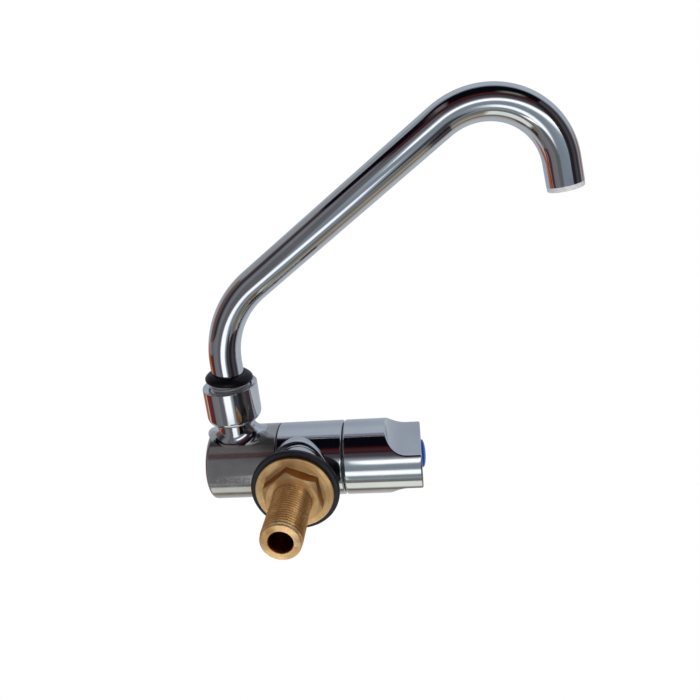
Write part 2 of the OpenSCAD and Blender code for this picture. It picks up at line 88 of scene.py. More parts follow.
# %% Places of the axes
ON_BARREL = Matrix.Translation((0, 0, AXIS_H)) @ Matrix.Rotation(math.pi / 2, 4, "Y")
ON_COLLAR = Matrix.Translation((COLLAR_X, 0, AXIS_H)) @ Matrix.Rotation(math.pi / 2, 4, "X")
UNDER_BARREL = Matrix.Translation((0, 0, AXIS_H)) @ Matrix.Rotation(math.pi, 4, "X")
print("swivel axis at x", COLLAR_X, "mm, barrel axis", AXIS_H, "mm above the worktop")

# %% [markdown]
# ## Workshop helpers
# A lathe makes most of a tap, and the spin operator is Blender's lathe: a wire outline goes round an axis.
# Rounding the wire's corners with a vertex bevel first gives every edge the small radius that catches light.

# %% Helpers for turning, growing and finishing a mesh
ROUND_STEPS = 4


def turned(outline, segments=128, ring=True):
    """Spins an outline of (radius, height, corner round) about Z. A ring's outline closes on itself."""
    bm = bmesh.new()
    corners = [bm.verts.new((r, 0, h)) for r, h, _ in outline]
    pairs = list(zip(corners, corners[1:]))
    if ring:
        pairs.append((corners[-1], corners[0]))
    for a, b in pairs:
        bm.edges.new((a, b))
    for size in sorted({f for *_, f in outline if f}):
        chosen = [v for v, (*_, f) in zip(corners, outline) if f == size]
        bmesh.ops.bevel(bm, geom=chosen, offset=size, offset_type="OFFSET", affect="VERTICES",
                        segments=ROUND_STEPS, profile=0.5, material=-1)
    bmesh.ops.spin(bm, geom=bm.verts[:] + bm.edges[:], cent=(0, 0, 0), axis=(0, 0, 1),
                   angle=FULL_TURN, steps=segments, use_merge=True)
    bmesh.ops.remove_doubles(bm, verts=bm.verts, dist=0.0005)
    bmesh.ops.recalc_face_normals(bm, faces=bm.faces)
    return bm


def grow(bm, rim):
    """Extrudes an open rim of edges and returns the new rim's verts and edges."""
    made = bmesh.ops.extrude_edge_only(bm, edges=rim)["geom"]
    verts = [g for g in made if isinstance(g, bmesh.types.BMVert)]
    fresh = set(verts)
    edges = [g for g in made if isinstance(g, bmesh.types.BMEdge) and set(g.verts) <= fresh]
    return verts, edges


def place(bm, matrix):
    bmesh.ops.transform(bm, matrix=matrix, verts=bm.verts)
    return bm


def join(bm, *others):
    """Adds other shapes to a shape, as shells of one piece."""
    for other in others:
        carrier = bpy.data.meshes.new("carrier")
        other.to_mesh(carrier)
        other.free()
        bm.from_mesh(carrier)
        bpy.data.meshes.remove(carrier)
    return bm


def piece(name, bm, finish, body, stands_for, sharp=32):
    """Makes a shape in millimetres into a piece of the tap that rides on a body."""
    bmesh.ops.remove_doubles(bm, verts=bm.verts, dist=0.0005)
    bmesh.ops.scale(bm, vec=(MM, MM, MM), verts=bm.verts)
    mesh = bpy.data.meshes.new(name)
    bm.to_mesh(mesh)
    bm.free()
    mesh.shade_smooth()
    mesh.set_sharp_from_angle(angle=math.radians(sharp))
    mesh.materials.append(finish)
    obj = bpy.data.objects.new(name, mesh)
    bpy.context.scene.collection.objects.link(obj)
    level = obj.modifiers.new("flat faces stay flat", "WEIGHTED_NORMAL")
    level.keep_sharp = True
    level.weight = 90
    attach(obj, body)
    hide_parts(*stands_for)
    print(name, len(mesh.polygons), "faces")
    return obj


# %% [markdown]
# ## Finishes
# A finish is a Principled shader whose roughness, colour and bump come from noise in Object coordinates.
# Noise that is stretched one way looks like polishing lines, and noise read along radius and height looks
# like the rings that a lathe tool leaves. Image textures aren't needed.

# %% Helpers for node trees
def new_finish(name):
    finish = bpy.data.materials.new(name)
    finish.use_nodes = True
    return finish, finish.node_tree, finish.node_tree.nodes["Principled BSDF"]


def node(tree, kind, **inputs):
    """Adds a node. Inputs are values, or sockets to link from, by the socket's name."""
    made = tree.nodes.new(kind)
    for key, value in inputs.items():
        socket = made.inputs[key.replace("_", " ")]
        if isinstance(value, bpy.types.NodeSocket):
            tree.links.new(value, socket)
        else:
            socket.default_value = value
    return made


def place_coords(tree, stretch=(1, 1, 1), turn=(0, 0, 0)):
    where = tree.nodes.new("ShaderNodeTexCoord").outputs["Object"]
    return node(tree, "ShaderNodeMapping", Vector=where, Scale=stretch, Rotation=turn).outputs["Vector"]


def noise(tree, where, scale, detail=4.0, roughness=0.55):
    made = node(tree, "ShaderNodeTexNoise", Vector=where, Scale=scale, Detail=detail, Roughness=roughness)
    return made.outputs["Fac"]


def ramp(tree, value, stops):
    """A colour ramp from (position, colour) stops."""
    made = node(tree, "ShaderNodeValToRGB", Fac=value)
    band = made.color_ramp
    for at, colour in stops[2:]:
        band.elements.new(at)
    for element, (at, colour) in zip(band.elements, sorted(stops)):
        element.position = at
        element.color = (*colour, 1)
    return made.outputs["Color"]


def remap(tree, value, low, high, from_low=0.0, from_high=1.0):
    made = node(tree, "ShaderNodeMapRange", Value=value)
    for key, number in (("From Min", from_low), ("From Max", from_high), ("To Min", low), ("To Max", high)):
        made.inputs[key].default_value = number
    return made.outputs["Result"]


def bump(tree, height, strength, depth, below=None):
    made = node(tree, "ShaderNodeBump", Height=height, Strength=strength, Distance=depth)
    if below is not None:
        tree.links.new(below, made.inputs["Normal"])
    return made.outputs["Normal"]


def calc(tree, kind, a, b=0.0):
    made = tree.nodes.new("ShaderNodeMath")
    made.operation = kind
    for socket, value in zip(made.inputs, (a, b)):
        if isinstance(value, bpy.types.NodeSocket):
            tree.links.new(value, socket)
        else:
            socket.default_value = value
    return made.outputs["Value"]


# %% [markdown]
# ### Chrome
# Plated brass is a mirror, but a used one: a faint haze of wiping, hairlines in two directions and some dust.
# The haze only moves the roughness, and the hairlines are thin peaks of stretched noise that dent the normal.
# The folding section is handled most, so its barrel has a duller plating of its own, and the ferrule's small
# ridges have a satin one.

# %% Chrome plating
def chrome_finish(name, low, high, rough, hairline_depth, speckle, metallic=1.0, hair_edge=0.66,
                  hair_tone=0.0):
    finish, tree, shader = new_finish(name)
    where = place_coords(tree)
    haze = noise(tree, where, 45, 5)
    lines_a = noise(tree, place_coords(tree, (260, 5200, 5200), (0.3, 0.2, 0.5)), 1, 2)
    lines_b = noise(tree, place_coords(tree, (4800, 300, 4800), (-0.4, 0.1, 0.9)), 1, 2)
    hair = calc(tree, "MAXIMUM", remap(tree, lines_a, 0, 1, hair_edge, hair_edge + 0.08),
                remap(tree, lines_b, 0, 1, hair_edge + 0.01, hair_edge + 0.09))
    dust = node(tree, "ShaderNodeTexVoronoi", Vector=where, Scale=900.0).outputs["Distance"]
    specks = calc(tree, "MULTIPLY", remap(tree, dust, 1, 0, 0.0, 0.16), remap(tree, haze, 0, 1, 0.5, 0.62))
    tone = calc(tree, "ADD", calc(tree, "MULTIPLY", specks, speckle), remap(tree, haze, 0.0, 1.0, 0.3, 0.7))
    tone = calc(tree, "ADD", tone, calc(tree, "MULTIPLY", hair, hair_tone))
    tree.links.new(ramp(tree, tone, [(0.0, low), (1.0, high)]), shader.inputs["Base Color"])
    wiped = remap(tree, haze, rough, rough + 0.05, 0.3, 0.7)
    worn = calc(tree, "ADD", wiped, calc(tree, "MULTIPLY", hair, 0.08))
    tree.links.new(worn, shader.inputs["Roughness"])
    tree.links.new(bump(tree, hair, 0.35, hairline_depth), shader.inputs["Normal"])
    shader.inputs["Metallic"].default_value = metallic
    return finish


CHROME = chrome_finish("chrome plating", (0.60, 0.61, 0.635), (0.68, 0.69, 0.71), 0.035, 0.000004, 0.35)
CHROME_SATIN = chrome_finish("satin chrome plating", (0.50, 0.51, 0.54), (0.58, 0.59, 0.62), 0.32, 0.0, 0.1,
                             metallic=0.8)
CHROME_WORN = chrome_finish("worn chrome plating", (0.39, 0.375, 0.375), (0.56, 0.54, 0.535), 0.085, 0.000012,
                            0.6, metallic=0.92, hair_edge=0.62, hair_tone=0.4)
print("plating:", CHROME.name, CHROME_SATIN.name, CHROME_WORN.name, sep=", ")

# %% [markdown]
# ### Turned brass
# The tail and the nut are cut from bar, so fine rings follow the tool. Radius and height from the tail's axis
# are the pattern's two coordinates: the same rings then run round a cylinder and across a flat face. The tool
# marks also stretch the shine, so the tangent follows them. Painted shade darkens the bore and the thread's
# roots, and the tail's tip face is painted lighter than the rest of it. The nut's sides, and every face that
# doesn't look along Z, are painted a darker brown as shade.

# %% Turned brass
def tint(tree, colour, share, shade):
    """Multiplies a colour by a shade where the share is 0, and leaves it where the share is 1."""
    made = node(tree, "ShaderNodeVectorMath")
    made.operation = "MULTIPLY"
    tree.links.new(colour, made.inputs[0])
    tree.links.new(ramp(tree, share, [(0.0, shade), (1.0, (1, 1, 1))]), made.inputs[1])
    return made.outputs["Vector"]


# Painted shade for thread roots and bore, a tone that leaves the tip face lighter, and painted side shade.
ROOT_SHADE, BORE_SHADE = (0.36, 0.24, 0.13), (0.40, 0.12, 0.07)
ABOVE_TIP_TONE, SIDE_SHADE = (1.0, 0.89, 0.72), (0.42, 0.27, 0.14)


def brass_finish(name, light, dark, stain, ring_share, ring_depth, gloss, metallic=1.0, painted_thread_shade=False,
                 shaded_sides=False):
    finish, tree, shader = new_finish(name)
    where = place_coords(tree)
    x, y, z = node(tree, "ShaderNodeSeparateXYZ", Vector=where).outputs
    radius = calc(tree, "SQRT", calc(tree, "ADD", calc(tree, "MULTIPLY", x, x), calc(tree, "MULTIPLY", y, y)))
    tool = node(tree, "ShaderNodeCombineXYZ", X=radius, Y=z).outputs["Vector"]
    rings = noise(tree, tool, 2600, 3, 0.7)
    cloud = noise(tree, where, 150, 5, 0.6)
    mixed = calc(tree, "ADD", calc(tree, "MULTIPLY", cloud, 1 - ring_share),
                 calc(tree, "MULTIPLY", rings, ring_share))
    colour = ramp(tree, mixed, [(0.28, stain), (0.44, dark), (0.66, light)])
    # Painted shade in the bore and the thread's roots. All but the tip face is toned, so the tip face is
    # lighter.
    if painted_thread_shade:
        above_tip = remap(tree, z, 0, 1, (TIP + 1.2) * MM, (TIP + 1.6) * MM)
        tip_face = calc(tree, "SUBTRACT", 1.0, above_tip)
        crest = calc(tree, "MAXIMUM", remap(tree, radius, 0, 1, 0.0075, 0.0081), tip_face)
        colour = tint(tree, colour, tip_face, ABOVE_TIP_TONE)
        colour = tint(tree, colour, crest, ROOT_SHADE)
        colour = tint(tree, colour, remap(tree, radius, 0, 1, 0.0049, 0.0051), BORE_SHADE)
    # Painted shade: faces that don't look along Z, such as the nut's sides and bore, are darkened to brown.
    if shaded_sides:
        faces = tree.nodes.new("ShaderNodeNewGeometry").outputs["True Normal"]
        level = calc(tree, "ABSOLUTE", node(tree, "ShaderNodeSeparateXYZ", Vector=faces).outputs["Z"])
        colour = tint(tree, colour, remap(tree, level, 0, 1, 0.2, 0.7), SIDE_SHADE)
    tree.links.new(colour, shader.inputs["Base Color"])
    tree.links.new(remap(tree, mixed, gloss + 0.12, gloss - 0.05, 0.3, 0.7), shader.inputs["Roughness"])
    grain = bump(tree, cloud, 0.25, 0.00002)
    tree.links.new(bump(tree, rings, 0.6, ring_depth, grain), shader.inputs["Normal"])
    round_axis = node(tree, "ShaderNodeCombineXYZ", X=calc(tree, "MULTIPLY", y, -1.0), Y=x).outputs["Vector"]
    way = node(tree, "ShaderNodeVectorTransform", Vector=round_axis)
    way.convert_from, way.convert_to = "OBJECT", "WORLD"
    tree.links.new(way.outputs["Vector"], shader.inputs["Tangent"])
    shader.inputs["Anisotropic"].default_value = 1.0
    shader.inputs["Anisotropic Rotation"].default_value = 0.25
    shader.inputs["Metallic"].default_value = metallic
    return finish


BRASS = brass_finish("turned brass", (1.0, 0.72, 0.39), (0.92, 0.57, 0.25), (0.62, 0.32, 0.10), 0.4, 0.000012,
                     0.29, metallic=0.93, shaded_sides=True)
THREAD_BRASS = brass_finish("thread brass", (1.0, 0.72, 0.39), (0.94, 0.57, 0.25), (0.64, 0.33, 0.11), 0.05,
                            0.000002, 0.26, metallic=0.92, painted_thread_shade=True)
INNER_BRASS = brass_finish("inner brass", (0.76, 0.52, 0.25), (0.60, 0.37, 0.15), (0.42, 0.24, 0.09), 0.4,
                           0.00001, 0.34)
print("brass:", BRASS.name, THREAD_BRASS.name, INNER_BRASS.name, sep=", ")

# %% [markdown]
# ### Rubber, plastics, steel and ceramic
# These are plain moulded or ground materials. One builder serves them all: two tones mixed by noise, a
# roughness that follows the same noise, and a fine grain in the bump. The ring and the cap shine little at
# the photograph's angle, so their specular level is lower.

# %% Moulded and ground finishes
def plain_finish(name, light, dark, rough, grain_scale, grain_depth, metallic=0.0):
    finish, tree, shader = new_finish(name)
    where = place_coords(tree)
    cloud = noise(tree, where, 120, 5, 0.6)
    grain = noise(tree, where, grain_scale, 3, 0.6)
    mixed = calc(tree, "ADD", calc(tree, "MULTIPLY", cloud, 0.7), calc(tree, "MULTIPLY", grain, 0.3))
    tree.links.new(ramp(tree, mixed, [(0.3, dark), (0.7, light)]), shader.inputs["Base Color"])
    tree.links.new(remap(tree, mixed, rough + 0.07, rough - 0.07, 0.3, 0.7), shader.inputs["Roughness"])
    tree.links.new(bump(tree, grain, 0.4, grain_depth), shader.inputs["Normal"])
    shader.inputs["Metallic"].default_value = metallic
    return finish, shader


RUBBER, _ = plain_finish("black rubber", (0.005, 0.006, 0.009), (0.0025, 0.003, 0.005), 0.42, 2600, 0.00002)
RING_RUBBER, ring_shader = plain_finish("ring rubber", (0.003, 0.003, 0.005), (0.0015, 0.0015, 0.003), 0.30,
                                        2200, 0.00001)
ring_shader.inputs["Specular IOR Level"].default_value = 0.2
BLACK_PLASTIC, _ = plain_finish("black plastic", (0.030, 0.030, 0.032), (0.016, 0.016, 0.018), 0.45, 2400,
                                0.00001)
BLUE_CAP, cap_shader = plain_finish("blue cap", (0.001, 0.050, 0.33), (0.001, 0.034, 0.25), 0.20, 1800,
                                    0.000004)
cap_shader.inputs["Specular IOR Level"].default_value = 0.25
CLEAR_PLASTIC, clear_shader = plain_finish("clear plastic", (0.60, 0.61, 0.62), (0.52, 0.53, 0.54), 0.30, 900,
                                           0.000002)
clear_shader.inputs["Transmission Weight"].default_value = 0.15
clear_shader.inputs["IOR"].default_value = 1.49
STEEL, _ = plain_finish("satin steel", (0.58, 0.58, 0.60), (0.44, 0.44, 0.46), 0.32, 3000, 0.00001, 1.0)
CERAMIC, _ = plain_finish("lapped ceramic", (0.90, 0.89, 0.86), (0.84, 0.83, 0.80), 0.22, 4000, 0.000004)
print("finishes in all:", len(bpy.data.materials))

# %% [markdown]
# ## Valve body
# The middle of the barrel is a casting, bored from both ends, with a pedestal that stands on the gasket. The
# casting has a thin raised pad round the pedestal, and the pad's edge catches the light as an arch. A ring of
# the foot is a plan radius, a lift of the barrel's surface and a rise above that. The last two rings go down
# into the barrel, where they don't show. The pedestal is a little fuller on the knob's side.

# %% Rings of the pedestal's foot
BOSS_R, BOSS_FILLET, BOSS_FULLER = 13.5, 0.6, 0.8
PAD_R, PAD_INNER_LIFT, PAD_OUTER_LIFT, PAD_ROUND = 15.2, 1.1, 1.6, 0.5
SUNK_RINGS = [(PAD_R, -0.5, 0), (12.0, -2.5, 0)]


def quarter(count):
    return [math.pi / 2 * i / count for i in range(count + 1)]


foot_rings = [(BOSS_R + BOSS_FILLET * (1 - math.cos(a)), PAD_INNER_LIFT, BOSS_FILLET * (1 - math.sin(a)))
              for a in quarter(7)]
foot_rings += [(PAD_R - PAD_ROUND * (1 - math.sin(a)), PAD_OUTER_LIFT - PAD_ROUND * (1 - math.cos(a)), 0)
               for a in quarter(5)]
foot_rings += SUNK_RINGS
print("rings of the foot:", len(foot_rings))

# %% [markdown]
# The pedestal is grown ring by ring from its flat underside. Each ring keeps its plan radius and takes its
# height from the barrel. What passes the fold seam is cut off, and the bored barrel section is turned and
# joined to it as a second shell.

# %% Valve body with its pedestal
BODY_BORE_R, CAVITY_R, SEAT_R = 10.02, 11.5, 3.5
SOCKET_X, SEAT_X = -5.2, 5.5
boss = bmesh.new()
bmesh.ops.create_circle(boss, cap_ends=True, radius=BOSS_R, segments=144)
bmesh.ops.translate(boss, verts=boss.verts, vec=(0, 0, AXIS_H - GASKET_T))
turn = boss.verts.layers.float.new("turn")
for v in boss.verts:
    v[turn] = math.atan2(v.co.y, v.co.x)
    v.co.x += BOSS_FULLER * max(0.0, math.cos(v[turn]))
rim = boss.edges[:]
for plan_r, lift, rise in foot_rings:
    verts, rim = grow(boss, rim)
    for v in verts:
        near_pad = (PAD_R - plan_r) / (PAD_R - BOSS_R)
        out = plan_r + BOSS_FULLER * min(1.0, near_pad) * max(0.0, math.cos(v[turn]))
        height = math.sqrt((BARREL_R + lift) ** 2 - (out * math.sin(v[turn])) ** 2)
        v.co = (out * math.cos(v[turn]), out * math.sin(v[turn]), height + rise)
bmesh.ops.holes_fill(boss, edges=rim, sides=0)
place(boss, UNDER_BARREL)
cut = bmesh.ops.bisect_plane(boss, geom=boss.verts[:] + boss.edges[:] + boss.faces[:], dist=0.0001,
                             plane_co=(BODY_L, 0, 0), plane_no=(-1, 0, 0), clear_outer=True)["geom_cut"]
bmesh.ops.holes_fill(boss, edges=[g for g in cut if isinstance(g, bmesh.types.BMEdge)], sides=0)
bmesh.ops.recalc_face_normals(boss, faces=boss.faces)
body_shell = place(turned([(BODY_BORE_R, BODY_L, 0), (BARREL_R, BODY_L, 0.35), (BARREL_R, BODY_R, 0.9),
                           (CAVITY_R, BODY_R, 0.2), (CAVITY_R, SEAT_X, 0), (SEAT_R, SEAT_X, 0),
                           (SEAT_R, SOCKET_X, 0), (BODY_BORE_R, SOCKET_X, 0)]), ON_BARREL)
piece("valve_body_chrome", join(body_shell, boss), CHROME, "tap_body", ["valve_body"])

# %% [markdown]
# ## Folding head
# The left section folds with the spout. Its short neck flares onto the barrel with a wide fillet, whose foot
# follows a saddle. A ball of the fillet's radius that touches both cylinders finds it: its centre is known at
# each angle, and the fillet is the arc between its two contacts. A boolean would leave a hard seam, so a ring
# is extruded along that arc.

# %% A branch with a rolling-ball fillet
def branch(radius, fillet, far, lip, segments=128, steps=9):
    """A tube along Z that flares onto the barrel, whose axis is X. It returns the shape and the foot's rim.

    The lip turns the arc past the barrel's contact by that share: the fine step of a polished casting.
    """
    bm = bmesh.new()
    bmesh.ops.create_circle(bm, cap_ends=False, radius=radius, segments=segments)
    bmesh.ops.translate(bm, verts=bm.verts, vec=(0, 0, far))
    turn = bm.verts.layers.float.new("turn")
    for v in bm.verts:
        v[turn] = math.atan2(v.co.y, v.co.x)
    rim = bm.edges[:]
    out = radius + fillet
    for step in range(steps + 1):
        verts, rim = grow(bm, rim)
        for v in verts:
            across = out * math.sin(v[turn])
            height = math.sqrt((BARREL_R + fillet) ** 2 - across ** 2)
            ball = Vector((out * math.cos(v[turn]), across, height))
            to_branch = Vector((-math.cos(v[turn]), -math.sin(v[turn]), 0))
            to_barrel = Vector((0, -across, -ball.z)).normalized()
            axis, angle = to_branch.rotation_difference(to_barrel).to_axis_angle()
            v.co = ball + fillet * (Matrix.Rotation(angle * (1 + lip) * step / steps, 3, axis) @ to_branch)
    return bm, rim


def sink(bm, rim, depth, squeeze):
    """Carries a foot's rim into the barrel, so that the shell can be closed there."""
    verts, _ = grow(bm, rim)
    bmesh.ops.scale(bm, vec=(squeeze, squeeze, 1), verts=verts)
    bmesh.ops.translate(bm, verts=verts, vec=(0, 0, -depth))


# %% [markdown]
# The head's barrel is a turned shell with the journal's bore in it. It is a piece of its own, so that it can
# have the worn plating. The small grub screw in its back stays under the shell.

# %% Barrel of the folding head
END_ROUND = 1.6
JOURNAL_BORE_R, JOURNAL_END = 8.05, -24.6
WATER_R, WATER_END = 6.0, -34.0
head_shell = place(turned([(0, HEAD_L, 0), (BARREL_R, HEAD_L, END_ROUND), (BARREL_R, HEAD_R, 0.35),
                           (JOURNAL_BORE_R, HEAD_R, 0), (JOURNAL_BORE_R, JOURNAL_END, 0),
                           (WATER_R, JOURNAL_END, 0), (WATER_R, WATER_END, 0), (0, WATER_END, 0)],
                          ring=False), ON_BARREL)
piece("fold_head_chrome", head_shell, CHROME_WORN, "fold_head", ["fold_head"])

# %% [markdown]
# The neck with its cup is the second piece of the head. The cup has a rounded shoulder and a countersunk rim.
# It is turned, and its foot meets the flared neck at a shared ring, so merging doubles makes them one shell.

# %% Neck and cup of the folding head
NECK_R, NECK_FILLET, NECK_LIP, NECK_TOP = 7.9, 5.4, 0.05, 22.1
CUP_R, CUP_TOP, CUP_BORE, CUP_FLOOR = 12.1, 39.5, 9.5, 27.6
CUP_LOW, SHOULDER_ROUND, RIM_R, COUNTERSINK_LOW = 22.5, 3.2, 11.55, 38.4
NECK_BORE, NECK_BORE_END = 4.5, 14.0
FOOT_DEPTH, FOOT_SQUEEZE = 2.5, 0.55
neck, foot = branch(NECK_R, NECK_FILLET, NECK_TOP, NECK_LIP)
sink(neck, foot, FOOT_DEPTH, FOOT_SQUEEZE)
cup = turned([(NECK_R, NECK_TOP, 0), (NECK_R, CUP_LOW, 0.3), (CUP_R, CUP_LOW, SHOULDER_ROUND),
              (CUP_R, CUP_TOP, 0.3), (RIM_R, CUP_TOP, 0.15), (CUP_BORE, COUNTERSINK_LOW, 0.2),
              (CUP_BORE, CUP_FLOOR, 0), (NECK_BORE, CUP_FLOOR, 0), (NECK_BORE, NECK_BORE_END, 0)], ring=False)
neck = join(neck, cup)
bmesh.ops.remove_doubles(neck, verts=neck.verts, dist=0.002)
open_rims = [e for e in neck.edges if e.is_boundary]
bmesh.ops.bridge_loops(neck, edges=open_rims)
bmesh.ops.recalc_face_normals(neck, faces=neck.faces)
piece("fold_cup_chrome", place(neck, ON_COLLAR), CHROME, "fold_head", ["fold_head"])

# %% [markdown]
# ## Knob
# The knob is a barrel section with two opposite finger flats that run out in a scoop. A dense ring is grown
# along the barrel and each vertex is moved to the surface along its radius. The surface is a smooth maximum
# of two distances, to the barrel and to the scoop, so the edge between them gets an even round. Halving finds
# the radius at which the distance is nought.

# %% The knob's surface
FLAT_OFF, FLAT_LEN, SCOOP_R = 8.3, 6.2, 9.3
EDGE_BLEND, KNOB_EDGE, KNOB_BACK_EDGE = 0.55, 0.75, 0.9
FLAT_START = KNOB_R - FLAT_LEN


def knob_distance(x, r, sine):
    """How far a point lies outside the knob: negative inside."""
    end = max(0.0, x - (KNOB_R - KNOB_EDGE))
    back = max(0.0, KNOB_L + KNOB_BACK_EDGE - x)
    trim = KNOB_EDGE - math.sqrt(max(0.0, KNOB_EDGE ** 2 - end ** 2))
    trim += KNOB_BACK_EDGE - math.sqrt(max(0.0, KNOB_BACK_EDGE ** 2 - back ** 2))
    barrel = r - BARREL_R + trim
    y = r * abs(sine)
    if x < FLAT_START:
        scoop = SCOOP_R - math.hypot(x - FLAT_START, y - FLAT_OFF - SCOOP_R)
    else:
        scoop = y - FLAT_OFF
    scoop += trim
    mix = max(0.0, EDGE_BLEND - abs(barrel - scoop)) / EDGE_BLEND
    return max(barrel, scoop) + EDGE_BLEND * mix * mix / 4


def knob_radius(x, sine):
    low, high = 4.0, BARREL_R + 1
    for _ in range(30):
        middle = (low + high) / 2
        if knob_distance(x, middle, sine) > 0:
            high = middle
        else:
            low = middle
    return low


print("radius across the flats:", round(knob_radius(KNOB_R - 2, 1.0), 2), "mm")

# %% [markdown]
# The rings stand close where the scoop cuts the barrel and far apart elsewhere. Stepped rings then make the
# cap's seat and the screw's hole at the front, and the hollow for the spindle at the back.

# %% Knob with finger flats
SCOOP_LOW, SCOOP_HIGH = 37.6, 41.2
CAP_SEAT = ((6.45, KNOB_R), (6.25, KNOB_R - 0.2), (6.25, 49.1), (4.2, 49.1), (4.2, 42.1), (2.1, 42.1),
            (2.1, 38.0))
SPINDLE_HOLE = ((13.2, KNOB_L), (13.2, 29.0), (3.8, 29.0), (3.8, 38.0))


def steps_between(a, b, count):
    return [a + (b - a) * i / count for i in range(1, count + 1)]


def ring_at(verts, radius, x):
    """Puts a ring's verts on a circle, each at its own angle."""
    for v in verts:
        v.co = (radius * math.cos(v[turn]), radius * math.sin(v[turn]), x)


stations = [KNOB_L + KNOB_BACK_EDGE * (1 - math.cos(a)) for a in quarter(5)[1:]]
stations += steps_between(stations[-1], SCOOP_LOW, 6) + steps_between(SCOOP_LOW, SCOOP_HIGH, 36)
stations += steps_between(SCOOP_HIGH, FLAT_START, 26) + steps_between(FLAT_START, KNOB_R - KNOB_EDGE, 8)
stations += [KNOB_R - KNOB_EDGE * (1 - math.sin(a)) for a in quarter(6)[1:]]
knob = bmesh.new()
bmesh.ops.create_circle(knob, cap_ends=False, radius=1.0, segments=288)
turn = knob.verts.layers.float.new("turn")
for v in knob.verts:
    v[turn] = math.atan2(v.co.y, v.co.x)
back_rim = rim = knob.edges[:]
for v in knob.verts:
    ring_at([v], knob_radius(KNOB_L, math.sin(v[turn])), KNOB_L)
for x in stations:
    verts, rim = grow(knob, rim)
    for v in verts:
        ring_at([v], knob_radius(x, math.sin(v[turn])), x)
for r, x in CAP_SEAT:
    verts, rim = grow(knob, rim)
    ring_at(verts, r, x)
for r, x in SPINDLE_HOLE:
    verts, back_rim = grow(knob, back_rim)
    ring_at(verts, r, x)
bmesh.ops.bridge_loops(knob, edges=rim + back_rim)
bmesh.ops.recalc_face_normals(knob, faces=knob.faces)
piece("knob_chrome", place(knob, ON_BARREL), CHROME, "knob", ["knob"])

# %% [markdown]
# ## Blue cap
# The cold mark is a glossy moulded plug with a dome. Its outline is a quarter of a flattened circle, spun as
# the other turned pieces are.

# %% Blue cap
CAP_R, CAP_DOME, CAP_BACK = 6.15, 1.8, 49.5
dome = [(CAP_R * math.sin(a), KNOB_R + CAP_DOME * math.cos(a) ** 0.8, 0)
        for a in quarter(14)[:-1]]
cap = turned([*dome, (CAP_R, KNOB_R - 0.2, 0), (CAP_R, CAP_BACK, 0), (0, CAP_BACK, 0)], 96, ring=False)
piece("index_cap_blue", place(cap, ON_BARREL), BLUE_CAP, "knob", ["index_cap"])

# %% [markdown]
# ## Spout
# The spout is one length of tube, bent twice. A ring of edges is drawn out along each straight and spun about
# each bend's centre, just as a tube bender does it, and a Solidify modifier gives the wall. It goes first in
# the stack, so that the wall's normals are evened too. A last short ring before the end keeps the shading of
# the tube apart from that of its cut edge.

# %% Spout tube
TUBE_START, RISE, REACH, DROP = 29.7, 50.0, 99.8, 9.1
BEND_R, BEND_A = 42.5, math.radians(54.4)
CROOK_R, CROOK_A = 28.3, math.radians(116)
END_RING, TUBE_WALL = 0.05, 1.0
tube = bmesh.new()
bmesh.ops.create_circle(tube, cap_ends=False, radius=TUBE_R, segments=64)
bmesh.ops.translate(tube, verts=tube.verts, vec=(0, 0, TUBE_START))
rim = tube.edges[:]
here, heading = Vector((0, 0, TUBE_START)), 0.0


def along(angle):
    return Vector((math.sin(angle), 0, math.cos(angle)))


def draw_out(rim, here, heading, length, steps):
    for _ in range(steps):
        verts, rim = grow(tube, rim)
        bmesh.ops.translate(tube, verts=verts, vec=along(heading) * length / steps)
    return rim, here + along(heading) * length


def bend(rim, here, heading, radius, angle, steps):
    centre = here + along(heading + math.pi / 2) * radius
    spun = bmesh.ops.spin(tube, geom=rim, cent=centre, axis=(0, 1, 0), angle=angle, steps=steps)["geom_last"]
    end = centre - along(heading + angle + math.pi / 2) * radius
    return [g for g in spun if isinstance(g, bmesh.types.BMEdge)], end, heading + angle


rim, here = draw_out(rim, here, heading, RISE - TUBE_START, 6)
rim, here, heading = bend(rim, here, heading, BEND_R, BEND_A, 28)
rim, here = draw_out(rim, here, heading, REACH, 20)
rim, here, heading = bend(rim, here, heading, CROOK_R, CROOK_A, 56)
rim, here = draw_out(rim, here, heading, DROP - END_RING, 4)
rim, here = draw_out(rim, here, heading, END_RING, 1)
outlet, outlet_heading = here.copy(), heading
bmesh.ops.recalc_face_normals(tube, faces=tube.faces)
spout = piece("spout_tube_chrome", place(tube, ON_COLLAR), CHROME, "spout", ["spout_tube"])
skin = spout.modifiers.new("wall", "SOLIDIFY")
skin.thickness = TUBE_WALL * MM
skin.offset = -1
spout.modifiers.move(1, 0)
print("outlet at", [round(v, 2) for v in outlet], "heading", round(math.degrees(outlet_heading), 1))

# %% [markdown]
# ## Ferrule
# A ferrule with two ridges is soldered to the tube and turns in the cup. It is a plain turned piece, and only
# its ridges show above the cup's rim.

# %% Ferrule
FERRULE_TOP, SLEEVE_R, RIDGE_R, COLLAR_R = 41.6, 7.9, 8.8, 9.45
FERRULE_LOW, COLLAR_TOP, TUBE_SEAT, MOUTH_R = 27.9, 33.6, 29.6, 6.0
ferrule = turned([(MOUTH_R, FERRULE_LOW, 0), (COLLAR_R, FERRULE_LOW, 0.3), (COLLAR_R, COLLAR_TOP, 0.3),
                  (SLEEVE_R, COLLAR_TOP, 0.2), (SLEEVE_R, 37.0, 0.15), (RIDGE_R, 37.25, 0.2),
                  (RIDGE_R, 38.1, 0.2), (SLEEVE_R, 38.35, 0.15), (SLEEVE_R, 39.5, 0.15),
                  (RIDGE_R, 39.7, 0.2), (RIDGE_R, 40.5, 0.2), (SLEEVE_R, 40.8, 0.15),
                  (SLEEVE_R, FERRULE_TOP, 0.15), (TUBE_R + 0.02, FERRULE_TOP, 0),
                  (TUBE_R + 0.02, TUBE_SEAT, 0), (MOUTH_R, TUBE_SEAT, 0)], 96)
